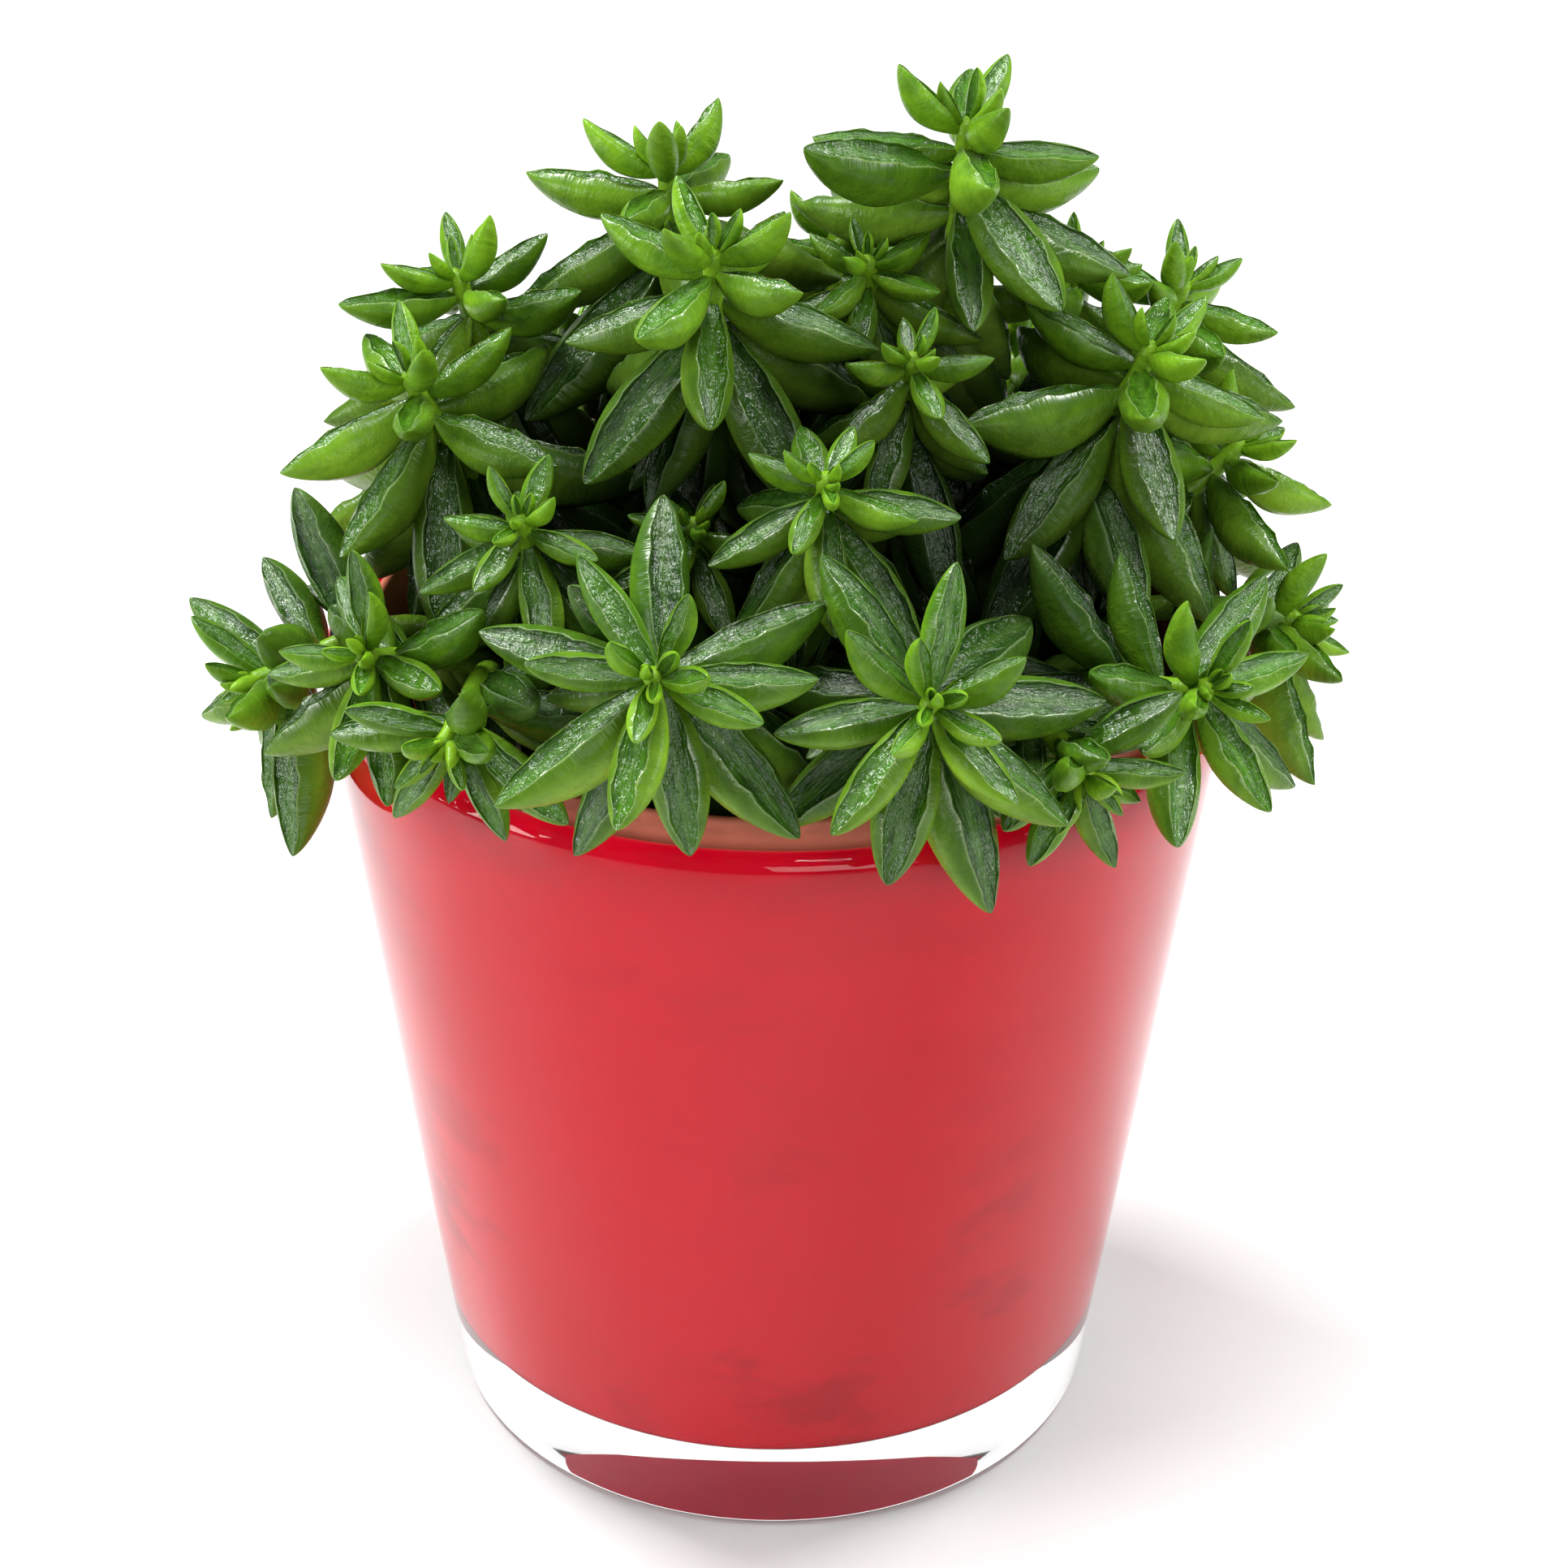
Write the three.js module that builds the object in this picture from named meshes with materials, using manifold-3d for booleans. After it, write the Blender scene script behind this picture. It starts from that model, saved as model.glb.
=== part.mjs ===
// A happy bean peperomia in its nursery pot, standing in a red cased glass pot. Millimetres, +Z up,
// with the origin at the middle of the glass foot's underside. -Y faces the viewer.
import * as THREE from "three";
import { mergeVertices } from "three/addons/utils/BufferGeometryUtils.js";
import Module from "manifold-3d";

const wasm = await Module();
wasm.setup();

// Glass pot
const GLASS_TOP = 123.1;
const SHOULDER_Z = 120.6;
const SHOULDER_RADIUS = 65;
const FOOT_RADIUS = 49;
const FOOT_CHAMFER = 1;
const LIP_WIDTH = 4.6;
const LIP_ROUNDING = 0.7;
const FLOOR_Z = 14;
const FLOOR_RADIUS = 47.5;
const CORNER_RADIUS = 2;

// Red layer inside the glass
const CLEARANCE = 0.3;
const LAYER_THICKNESS = 0.8;

// Nursery pot
const NURSERY_WALL = 1.4;
const NURSERY_FLOOR_Z = FLOOR_Z + CLEARANCE + LAYER_THICKNESS + CLEARANCE;
const NURSERY_FOOT_RADIUS = 39;
const NURSERY_NECK_Z = 110.5;
const NURSERY_NECK_RADIUS = 55;
const COLLAR_Z = 112.2;
const COLLAR_RADIUS = 57.3;
const COLLAR_TOP = 125.7;
const COLLAR_TOP_RADIUS = 58.8;
const COLLAR_ROUNDING = 0.5;
const DRAIN_RADIUS = 3;
const DRAIN_CIRCLE = 26;
const DRAIN_COUNT = 6;

// Soil
const SOIL_EDGE_Z = 113.4;
const SOIL_TOP = 115;
const SOIL_LEVEL_SHARE = 0.6;
const ROOT_DEPTH = 12;
const HOLE_RADIUS = 2.4;

// Stems: the shares of its span over which a stem rises straight up and runs straight into its tip
const STEM_RADIUS = 1.9;
const TIP_RADIUS = 1.35;
const TIP_CAP = 0.8;
const RISE_SHARE = 0.42;
const TIP_SHARE = 0.36;
const STEM_RINGS = [0, 0.35, 0.68, 1];

// The least rise of a stem that has to clear the rims of both pots
const RIM_RISE = 26;

// Leaves: half width and depth as shares of the length, and how far the root of a leaf lies under its back
const HALF_WIDTH = 0.152;
const DEPTH = 0.32;
const ROOT_BELOW = 0.6;

// Each whorl from the young tip downwards: leaves, distance below the tip, leaf length, the angle that the
// leaf opens from the stem, and how far it arches over, for a stem of size 1. Stations are the places along
// the leaf where its faceted outline turns.
const WHORLS = [
  { leaves: 1, below: 0.2, length: 5.5, open: 12, arch: 8, stations: [0.45] },
  { leaves: 3, below: 1, length: 10.5, open: 44, arch: 14, stations: [0.45] },
  { leaves: 4, below: 2.6, length: 17.5, open: 64, arch: 20, stations: [0.3, 0.7] },
  { leaves: 4, below: 5.2, length: 22.5, open: 80, arch: 26, stations: [0.3, 0.72] },
  { leaves: 4, below: 8.6, length: 26, open: 92, arch: 30, stations: [0.3, 0.72] },
  { leaves: 4, below: 12.5, length: 29, open: 104, arch: 34, stations: [0.3, 0.72] },
  { leaves: 4, below: 16, length: 30, open: 112, arch: 34, stations: [0.3, 0.72] },
];

// The turn from each whorl to the next, how far leaves sink under their weight, and how far their faces turn
// to the sky. Leaves that rise are shorter than leaves that hang, by UPWARD. An upright stem is drawn out by
// STRETCH, and the leaves closed round its bud by BUD_STRETCH. Its whorls open wider by HANG degrees each.
const WHORL_TURN = 33;
const HANG = 6;
const DROOP = 0.12;
const WORLD_LIFT = 1.5;
const UPWARD = 0.2;
const STRETCH = 0.12;
const BUD_STRETCH = 0.15;
const BUD_WHORLS = 2;

// How far one leaf differs from the next, in degrees or as a share
const TURN_SPREAD = 14;
const OPEN_SPREAD = 14;
const ROLL_SPREAD = 46;
const ARCH_RANGE = [0.75, 0.5];
const LENGTH_RANGE = [0.86, 0.24];
const PLUMP_RANGE = [0.9, 0.25];
const BELOW_RANGE = [0.9, 0.2];

// Clear space between leaves of different stems, and between leaves and the pots
const LEAF_GAP = 0.45;
const POT_GAP = 0.8;

// A leaf may touch its own stem's leaves near the stem, and brush them a little further out.
const OWN_MARGIN = -1.2;
const OWN_FREE_FROM = 0.55;

// How a leaf that has no room gives way, in degrees round the stem and away from it, before it is shortened
const SHIFTS = [
  [0, 0],
  [0, -9],
  [9, 0],
  [-9, 0],
  [0, 10],
  [14, -9],
  [-14, -9],
  [0, -20],
  [20, 0],
  [-20, 0],
  [12, 14],
  [-12, 14],
  [22, -20],
  [-22, -20],
  [0, -34],
];
const SHORTER = [1, 0.86, 0.72, 0.58];

// Fineness of the solids and of the tests for room
const POT_SIDES = 26;
const STEM_SIDES = 5;
const HOLE_SIDES = 6;
const DRAIN_SIDES = 8;
const TUBE_STEP = 1.5;
const SAMPLE_STATIONS = 12;

// A leaf's flank: the level below its margins down to which it is full, as a share of its depth, and the
// place on it where it is tested for room, as shares of its half width and depth
const FLANK_LEVEL = 0.25;
const FLANK_OUT = 0.78;
const FLANK_DOWN = 0.7;

const DEGREE = Math.PI / 180;

// Each leafy stem: where it leaves the soil, where its tip is, the way its tip points, its size, the turn of
// its first whorl in degrees, and its number of whorls. They are set out from the viewer's side to the back.
const STEMS = [
  ["front_left", [-12, -37], [-15.1, -69, 152], [-0.06, -0.86, 0.5], 0.98, 100, 7],
  ["front_right", [14, -39], [19.3, -69, 148.6], [0.02, -0.85, 0.53], 0.98, 70, 7],
  ["low_left", [-33, -26], [-55, -38, 139], [-0.4, -0.66, 0.64], 0.98, 20, 7],
  ["right_front", [34, -28], [57, -41, 136.5], [0.36, -0.7, 0.62], 1, 50, 7],
  ["centre", [3, -22], [6.2, -42, 166.5], [0.02, -0.55, 0.83], 0.72, 0, 6],
  ["mid_left", [-23, -21], [-33.5, -38, 158.5], [-0.12, -0.5, 0.86], 0.68, 90, 6],
  ["far_left", [-43, -9], [-73, -16, 123], [-0.85, -0.5, -0.02], 0.95, 75, 6],
  ["far_right", [44, -5], [74, -2, 127], [0.88, -0.2, 0.3], 0.95, 60, 6],
  ["upper_right", [30, -8], [51, -1, 168], [0.32, -0.16, 0.93], 1.12, 15, 6],
  ["upper_left", [-29, -5], [-51, -3, 163.5], [-0.42, -0.16, 0.89], 1.1, 40, 7],
  ["upper_mid", [-9, -5], [-9, -12, 185.5], [-0.02, -0.2, 0.98], 1.05, 80, 6],
  ["rim_left", [-38, -27], [-43, -54, 134], [-0.4, -0.8, -0.3], 0.85, 75, 6],
  ["rim_right", [27, -40], [40, -58, 132], [0.35, -0.8, -0.3], 0.8, 45, 5],
  ["dark_mid", [-10, -19], [-11, -29, 154], [0.05, -0.4, 0.9], 0.6, 10, 4],
  ["inner_right", [14, -10], [18, -15, 172], [0.1, -0.35, 0.93], 0.62, 35, 5],
  ["inner_back", [7, 5], [12, 5, 178], [-0.05, -0.3, 0.95], 0.68, 75, 5],
  ["top_right", [20, 12], [25.4, 14, 194.5], [0.03, -0.08, 1], 1.22, 25, 7],
  ["upper_back", [30, 12], [42, 22, 171], [0.1, -0.1, 0.98], 0.8, 65, 5],
  ["back_left", [-12, 16], [-16.4, 28, 183], [-0.08, 0.12, 0.99], 1.2, 5, 7],
  ["back_far_left", [-34, 13], [-46, 21, 169], [-0.3, 0.05, 0.93], 1, 55, 6],
  ["back_right", [43, 12], [58, 28, 166], [0.3, 0.12, 0.94], 0.95, 85, 6],
  ["side_right", [47, 6], [66, 14, 147], [0.6, 0.1, 0.75], 0.95, 30, 6],
  ["back_middle", [6, 27], [8, 47, 166], [0.02, 0.45, 0.89], 0.95, 45, 5],
  ["back_low_left", [-23, 32], [-32, 51, 148], [-0.3, 0.66, 0.68], 0.92, 70, 4],
  ["back_low_right", [26, 34], [37, 53, 146], [0.32, 0.66, 0.68], 0.92, 15, 4],
  ["rear_rim", [1, 44], [2, 67, 134], [0, 0.88, 0.46], 0.86, 35, 4],
  ["rear_left", [-39, 25], [-56, 38, 136], [-0.62, 0.48, 0.6], 0.84, 60, 4],
  ["rear_right", [39, 26], [60, 40, 134], [0.64, 0.48, 0.58], 0.84, 5, 4],
];

// Materials, one for each kind of surface
const clearGlass = new THREE.MeshStandardMaterial({ color: 0xdfe6e4, roughness: 0.05, metalness: 0 });
const redGlass = new THREE.MeshStandardMaterial({ color: 0xc8182a, roughness: 0.15, metalness: 0 });
const terracottaPlastic = new THREE.MeshStandardMaterial({ color: 0xaf5c47, roughness: 0.55, metalness: 0 });
const darkSoil = new THREE.MeshStandardMaterial({ color: 0x1f1611, roughness: 1, metalness: 0 });
const leafGreen = new THREE.MeshStandardMaterial({ color: 0x4f9a2a, roughness: 0.35, metalness: 0 });

const vec = (x, y, z) => new THREE.Vector3(x, y, z);
const UP = vec(0, 0, 1);
const SIDEWAYS = vec(1, 0, 0);

// Draws numbers from 0 to 1 that are the same each time for the same seed.
function dice(seed) {
  let state = seed >>> 0;
  return () => {
    state = (Math.imul(state, 1664525) + 1013904223) >>> 0;
    return state / 4294967296;
  };
}

// The part of v that lies square to the unit vector axis, made one long.
function squareTo(v, axis) {
  return v.clone().addScaledVector(axis, -v.dot(axis)).normalize();
}

// A closed mesh through rings of equal length, each end drawn to a point.
function loft(start, rings, end) {
  const sides = rings[0].length;
  const points = [start, ...rings.flat(), end];
  const last = points.length - 1;
  const faces = [];
  for (let i = 0; i < sides; i++) {
    const j = (i + 1) % sides;
    faces.push(0, 1 + j, 1 + i);
    faces.push(last, last - sides + i, last - sides + j);
    for (let k = 0; k + 1 < rings.length; k++) {
      const a = 1 + k * sides;
      const b = a + sides;
      faces.push(a + i, a + j, b + j);
      faces.push(a + i, b + j, b + i);
    }
  }
  const geometry = new THREE.BufferGeometry().setFromPoints(points);
  geometry.setIndex(faces);
  return geometry;
}

function toSolid(source) {
  const geometry = source.clone();
  geometry.deleteAttribute("normal");
  geometry.deleteAttribute("uv");
  const merged = mergeVertices(geometry, 1e-4);
  const mesh = new wasm.Mesh({
    numProp: 3,
    vertProperties: new Float32Array(merged.attributes.position.array),
    triVerts: new Uint32Array(merged.index.array),
  });
  return new wasm.Manifold(mesh);
}

function toGeometry(solid) {
  const mesh = solid.getMesh();
  const geometry = new THREE.BufferGeometry();
  geometry.setAttribute("position", new THREE.BufferAttribute(mesh.vertProperties, 3));
  geometry.setIndex(new THREE.BufferAttribute(mesh.triVerts, 1));
  return geometry;
}

// The largest body of a solid, so that loose scraps and sealed hollows are gone.
function wholeBody(solid) {
  const bodies = solid.decompose();
  return bodies.reduce((best, body) => (body.volume() > best.volume() ? body : best));
}

const group = new THREE.Group();

function addNode(name, geometry, material) {
  const mesh = new THREE.Mesh(geometry, material);
  mesh.name = name;
  group.add(mesh);
}

function turned(profile) {
  return new THREE.LatheGeometry(
    profile.map(([r, z]) => new THREE.Vector2(r, z)),
    POT_SIDES,
  ).rotateX(Math.PI / 2);
}

// Outer and inner radius of the glass wall at a height
function glassOuter(z) {
  return FOOT_RADIUS + ((SHOULDER_RADIUS - FOOT_RADIUS) * z) / SHOULDER_Z;
}

function glassInner(z) {
  const low = FLOOR_Z + CORNER_RADIUS;
  const topRadius = SHOULDER_RADIUS - LIP_WIDTH;
  return FLOOR_RADIUS + ((topRadius - FLOOR_RADIUS) * (z - low)) / (SHOULDER_Z - low);
}

// The hollow of the glass pot, from the axis up to a height, drawn in by inset.
function hollow(inset, topZ) {
  const middle = [FLOOR_RADIUS - CORNER_RADIUS, FLOOR_Z + CORNER_RADIUS];
  const radius = CORNER_RADIUS - inset;
  const points = [[0, FLOOR_Z + inset]];
  for (const angle of [-90, -60, -30, 0]) {
    const a = angle * DEGREE;
    points.push([middle[0] + radius * Math.cos(a), middle[1] + radius * Math.sin(a)]);
  }
  points.push([glassInner(topZ) - inset, topZ]);
  return points;
}

function glassPot() {
  const lipMiddle = SHOULDER_RADIUS - LIP_WIDTH / 2;
  const shoulder = 2 * LIP_ROUNDING;
  const outside = [
    [0, 0],
    [FOOT_RADIUS - FOOT_CHAMFER, 0],
    [glassOuter(FOOT_CHAMFER), FOOT_CHAMFER],
    [SHOULDER_RADIUS, SHOULDER_Z],
    [lipMiddle + shoulder, GLASS_TOP - LIP_ROUNDING],
    [lipMiddle, GLASS_TOP],
    [lipMiddle - shoulder, GLASS_TOP - LIP_ROUNDING],
  ];
  return turned([...outside, ...hollow(0, SHOULDER_Z).reverse()]);
}

function redLayer() {
  const outside = hollow(CLEARANCE, SHOULDER_Z);
  const inside = hollow(CLEARANCE + LAYER_THICKNESS, SHOULDER_Z);
  return turned([...outside, ...inside.reverse()]);
}

function nurseryPot() {
  const floorTop = NURSERY_FLOOR_Z + NURSERY_WALL;
  const shell = turned([
    [0, NURSERY_FLOOR_Z],
    [NURSERY_FOOT_RADIUS, NURSERY_FLOOR_Z],
    [NURSERY_NECK_RADIUS, NURSERY_NECK_Z],
    [COLLAR_RADIUS, COLLAR_Z],
    [COLLAR_TOP_RADIUS, COLLAR_TOP - COLLAR_ROUNDING],
    [COLLAR_TOP_RADIUS - NURSERY_WALL / 2, COLLAR_TOP],
    [COLLAR_TOP_RADIUS - NURSERY_WALL, COLLAR_TOP - COLLAR_ROUNDING],
    [COLLAR_RADIUS - NURSERY_WALL, COLLAR_Z + NURSERY_WALL / 2],
    [NURSERY_NECK_RADIUS - NURSERY_WALL, NURSERY_NECK_Z + NURSERY_WALL / 2],
    [NURSERY_FOOT_RADIUS - NURSERY_WALL, floorTop],
    [0, floorTop],
  ]);
  let solid = toSolid(shell);
  for (let i = 0; i < DRAIN_COUNT; i++) {
    const angle = (i * 2 * Math.PI) / DRAIN_COUNT;
    const drill = new THREE.CylinderGeometry(DRAIN_RADIUS, DRAIN_RADIUS, 4 * NURSERY_WALL, DRAIN_SIDES)
      .rotateX(Math.PI / 2)
      .translate(DRAIN_CIRCLE * Math.cos(angle), DRAIN_CIRCLE * Math.sin(angle), NURSERY_FLOOR_Z);
    solid = solid.subtract(toSolid(drill));
  }
  return toGeometry(solid);
}

function soil() {
  const bottom = NURSERY_FLOOR_Z + NURSERY_WALL + CLEARANCE;
  const inset = NURSERY_WALL + 2 * CLEARANCE;
  const plug = turned([
    [0, bottom],
    [NURSERY_FOOT_RADIUS - inset, bottom],
    [NURSERY_NECK_RADIUS - inset, NURSERY_NECK_Z],
    [COLLAR_RADIUS - inset, SOIL_EDGE_Z],
    [COLLAR_RADIUS * SOIL_LEVEL_SHARE, SOIL_TOP],
    [0, SOIL_TOP],
  ]);
  let solid = toSolid(plug);
  const drillLength = 2 * ROOT_DEPTH;
  for (const stem of stems) {
    const drill = new THREE.CylinderGeometry(HOLE_RADIUS, HOLE_RADIUS, drillLength, HOLE_SIDES)
      .rotateX(Math.PI / 2)
      .rotateZ(Math.PI / 2)
      .translate(stem.base.x, stem.base.y, SOIL_TOP - ROOT_DEPTH - CLEARANCE + drillLength / 2);
    solid = solid.subtract(toSolid(drill));
  }
  return toGeometry(solid);
}

// A stem rises from the soil and swings over to the way that its tip points.
function makeStem([name, base, tip, lean, size, turn, whorls], index) {
  const start = vec(base[0], base[1], SOIL_TOP - 1);
  const end = vec(...tip);
  const axis = vec(...lean).normalize();
  const span = start.distanceTo(end);
  const overRim = Math.hypot(end.x, end.y) > COLLAR_RADIUS;
  const rise = Math.max(overRim ? RIM_RISE : 0, span * RISE_SHARE);
  const curve = new THREE.CubicBezierCurve3(
    start,
    start.clone().addScaledVector(UP, rise),
    end.clone().addScaledVector(axis, -span * TIP_SHARE),
    end,
  );
  const upright = Math.max(0, axis.z) ** 2;
  const stretch = 1 + STRETCH * upright;
  const bud = 1 + BUD_STRETCH * upright;
  const hang = HANG * upright;
  return { name, index, base: start, curve, size, stretch, bud, hang, turn, whorls, span, leaves: [] };
}

// Place and heading of a stem at t from 0 at the soil to 1 at the tip
function stemAt(stem, t) {
  const { v0, v1, v2, v3 } = stem.curve;
  const heading = vec(0, 0, 0)
    .addScaledVector(v1.clone().sub(v0), (1 - t) * (1 - t))
    .addScaledVector(v2.clone().sub(v1), 2 * t * (1 - t))
    .addScaledVector(v3.clone().sub(v2), t * t)
    .normalize();
  return { place: stem.curve.getPoint(t), heading };
}

function stemRing(place, heading, radius) {
  const side = squareTo(SIDEWAYS, heading);
  const other = heading.clone().cross(side);
  const ring = [];
  for (let i = 0; i < STEM_SIDES; i++) {
    const angle = (i * 2 * Math.PI) / STEM_SIDES;
    ring.push(
      place
        .clone()
        .addScaledVector(side, radius * Math.cos(angle))
        .addScaledVector(other, radius * Math.sin(angle)),
    );
  }
  return ring;
}

function stemSolid(stem) {
  const root = stem.base.clone().setZ(SOIL_TOP - ROOT_DEPTH);
  const rings = [stemRing(root, UP, STEM_RADIUS)];
  for (const t of STEM_RINGS) {
    const { place, heading } = stemAt(stem, t);
    rings.push(stemRing(place, heading, STEM_RADIUS + (TIP_RADIUS - STEM_RADIUS) * t * t));
  }
  const top = stemAt(stem, 1);
  return toSolid(loft(root, rings, top.place.addScaledVector(top.heading, TIP_CAP)));
}

// Half width and depth of a leaf along its length, from 0 at its root to 1 at its tip, as shares of the most
function widthShare(s) {
  return Math.pow(Math.sin(Math.PI * Math.pow(s, 1.12)), 0.62);
}

function depthShare(s) {
  return Math.pow(Math.sin(Math.PI * Math.pow(s, 0.98)), 0.68);
}

// Half width of a leaf at a level from its margins, 0, to its keel, 1, as a share of the most
function flankShare(level) {
  const fall = Math.min(Math.max((level - FLANK_LEVEL) / (1 - FLANK_LEVEL), 0), 1);
  return Math.sqrt(1 - fall * fall);
}

// A leaf arches in a circle: forward and up are its frame at mid length, and side is square to both.
function makeLeaf(root, forward, up, length, arch, plump) {
  const side = forward.clone().cross(up);
  const bend = arch * DEGREE;
  const radius = length / bend;
  const middle = root
    .clone()
    .addScaledVector(forward, radius * Math.sin(bend / 2))
    .addScaledVector(up, -radius * Math.cos(bend / 2));
  const leaf = { forward, up, side, bend, radius, middle, length };
  leaf.halfWidth = length * HALF_WIDTH * plump;
  leaf.depth = length * DEPTH * (2 - plump);
  leaf.reach = length * 0.56;
  leaf.centre = leafPoint(leaf, 0.5, 0, leaf.depth * 0.4);
  leaf.points = leafSamples(leaf);
  return leaf;
}

// The point of a leaf at s along it, aside of its middle line and below its margins
function leafPoint(leaf, s, aside, below) {
  const angle = leaf.bend * (s - 0.5);
  const r = leaf.radius - below;
  return leaf.middle
    .clone()
    .addScaledVector(leaf.forward, r * Math.sin(angle))
    .addScaledVector(leaf.up, r * Math.cos(angle))
    .addScaledVector(leaf.side, aside);
}

function leafRing(leaf, s) {
  const w = leaf.halfWidth * widthShare(s);
  const d = leaf.depth * depthShare(s);
  return [leafPoint(leaf, s, w, 0), leafPoint(leaf, s, 0, d), leafPoint(leaf, s, -w, 0)];
}

function leafSolid(leaf) {
  const rings = WHORLS[leaf.whorl].stations.map((s) => leafRing(leaf, s));
  return toSolid(loft(leafPoint(leaf, 0, 0, ROOT_BELOW), rings, leafPoint(leaf, 1, 0, 0)));
}

// Points all over a leaf, to test where it lies
function leafSamples(leaf) {
  const points = [leafPoint(leaf, 1, 0, 0)];
  for (let i = 1; i < SAMPLE_STATIONS; i++) {
    const s = i / SAMPLE_STATIONS;
    const w = leaf.halfWidth * widthShare(s);
    const d = leaf.depth * depthShare(s);
    points.push(leafPoint(leaf, s, w, 0), leafPoint(leaf, s, -w, 0), leafPoint(leaf, s, 0, d));
    for (const out of [w * FLANK_OUT, -w * FLANK_OUT]) points.push(leafPoint(leaf, s, out, d * FLANK_DOWN));
  }
  return points;
}

// Whether a point lies in a leaf grown by margin, past s = from along it
function insideLeaf(leaf, point, margin, from) {
  const x = point.x - leaf.middle.x;
  const y = point.y - leaf.middle.y;
  const z = point.z - leaf.middle.z;
  const aside = x * leaf.side.x + y * leaf.side.y + z * leaf.side.z;
  if (Math.abs(aside) > leaf.halfWidth + margin) return false;
  const ahead = x * leaf.forward.x + y * leaf.forward.y + z * leaf.forward.z;
  const above = x * leaf.up.x + y * leaf.up.y + z * leaf.up.z;
  const below = leaf.radius - Math.hypot(ahead, above);
  if (below < -margin || below > leaf.depth + margin) return false;
  const s = Math.atan2(ahead, above) / leaf.bend + 0.5;
  const over = margin / leaf.length;
  if (s < from - over || s > 1 + over) return false;
  const inner = Math.min(Math.max(s, 0), 1);
  const d = leaf.depth * depthShare(inner);
  if (below > d + margin) return false;
  const level = Math.min(Math.max(below / Math.max(d, 0.01), 0), 1);
  return Math.abs(aside) < leaf.halfWidth * widthShare(inner) * flankShare(level) + margin;
}

function near(a, b, margin) {
  const reach = a.reach + b.reach + margin;
  return a.centre.distanceToSquared(b.centre) < reach * reach;
}

function leavesCross(a, b, margin, from) {
  if (!near(a, b, margin)) return false;
  return (
    a.points.some((p) => insideLeaf(b, p, margin, from)) ||
    b.points.some((p) => insideLeaf(a, p, margin, from))
  );
}

// Whether a point is clear of the soil and of both pots' walls
function clearOfPot(point) {
  if (point.z > COLLAR_TOP + POT_GAP) return true;
  const r = Math.hypot(point.x, point.y);
  if (r < COLLAR_RADIUS - NURSERY_WALL - POT_GAP) return point.z > SOIL_TOP + POT_GAP;
  if (point.z > GLASS_TOP + POT_GAP) return r > COLLAR_TOP_RADIUS + POT_GAP;
  return r > glassOuter(point.z) + POT_GAP;
}

function leafIsClear(leaf, stem) {
  if (!leaf.points.every(clearOfPot)) return false;
  for (const other of stems) {
    if (other === stem) {
      if (other.leaves.some((l) => leavesCross(leaf, l, OWN_MARGIN, OWN_FREE_FROM))) return false;
    } else {
      if (other.tube.some((p) => insideLeaf(leaf, p, STEM_RADIUS + LEAF_GAP, 0))) return false;
      if (other.leaves.some((l) => leavesCross(leaf, l, LEAF_GAP, 0))) return false;
    }
  }
  return true;
}

function placeLeaf(stem, whorl, number) {
  const kind = WHORLS[whorl];
  const draw = dice(
    Math.imul(stem.index + 1, 374761393) + Math.imul(whorl + 1, 668265263) + Math.imul(number + 1, 974634777),
  );
  draw();
  draw();
  const share = (range) => range[0] + range[1] * draw();
  const evenTurn = stem.turn + whorl * WHORL_TURN + (number * 360) / kind.leaves;
  const turn = evenTurn + TURN_SPREAD * (draw() - 0.5);
  const open = kind.open + stem.hang * Math.max(0, whorl - 1) + OPEN_SPREAD * (draw() - 0.5);
  const arch = kind.arch * share(ARCH_RANGE);
  const drawn = whorl < BUD_WHORLS ? stem.bud : 1;
  const long = kind.length * stem.size * drawn * share(LENGTH_RANGE);
  const roll = ROLL_SPREAD * DEGREE * (draw() - 0.5);
  const plump = share(PLUMP_RANGE);
  const below = kind.below * stem.size * stem.stretch * share(BELOW_RANGE);
  const { place, heading } = stemAt(stem, 1 - below / stem.span);
  const first = squareTo(SIDEWAYS, heading);
  const second = heading.clone().cross(first);
  for (const shorter of SHORTER) {
    for (const [aside, away] of SHIFTS) {
      const around = (turn + aside) * DEGREE;
      const angle = (open + away) * DEGREE;
      const outward = vec(0, 0, 0)
        .addScaledVector(first, Math.cos(around))
        .addScaledVector(second, Math.sin(around));
      const forward = vec(0, 0, 0)
        .addScaledVector(heading, Math.cos(angle))
        .addScaledVector(outward, Math.sin(angle))
        .addScaledVector(UP, -DROOP * whorl)
        .normalize();
      const towards = vec(0, 0, 0)
        .addScaledVector(heading, Math.sin(angle))
        .addScaledVector(outward, -Math.cos(angle))
        .addScaledVector(UP, WORLD_LIFT);
      const up = squareTo(towards, forward).applyAxisAngle(forward, roll);
      const held = whorl < BUD_WHORLS ? 1 : 1 - UPWARD * forward.z;
      const leaf = makeLeaf(place, forward, up, long * shorter * held, arch, plump);
      leaf.whorl = whorl;
      if (leafIsClear(leaf, stem)) {
        stem.leaves.push(leaf);
        return;
      }
    }
  }
}

const stems = STEMS.map(makeStem);
for (const stem of stems) {
  const steps = Math.ceil(stem.span / TUBE_STEP);
  stem.tube = Array.from({ length: steps + 1 }, (_, i) => stemAt(stem, i / steps).place);
}
for (let whorl = 0; whorl < WHORLS.length; whorl++) {
  for (const stem of stems) {
    if (whorl >= stem.whorls) continue;
    for (let i = 0; i < WHORLS[whorl].leaves; i++) placeLeaf(stem, whorl, i);
  }
}

function leafyStem(stem) {
  let solid = stemSolid(stem);
  for (const leaf of stem.leaves) {
    solid = solid.add(leafSolid(leaf));
  }
  return toGeometry(wholeBody(solid));
}

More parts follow.
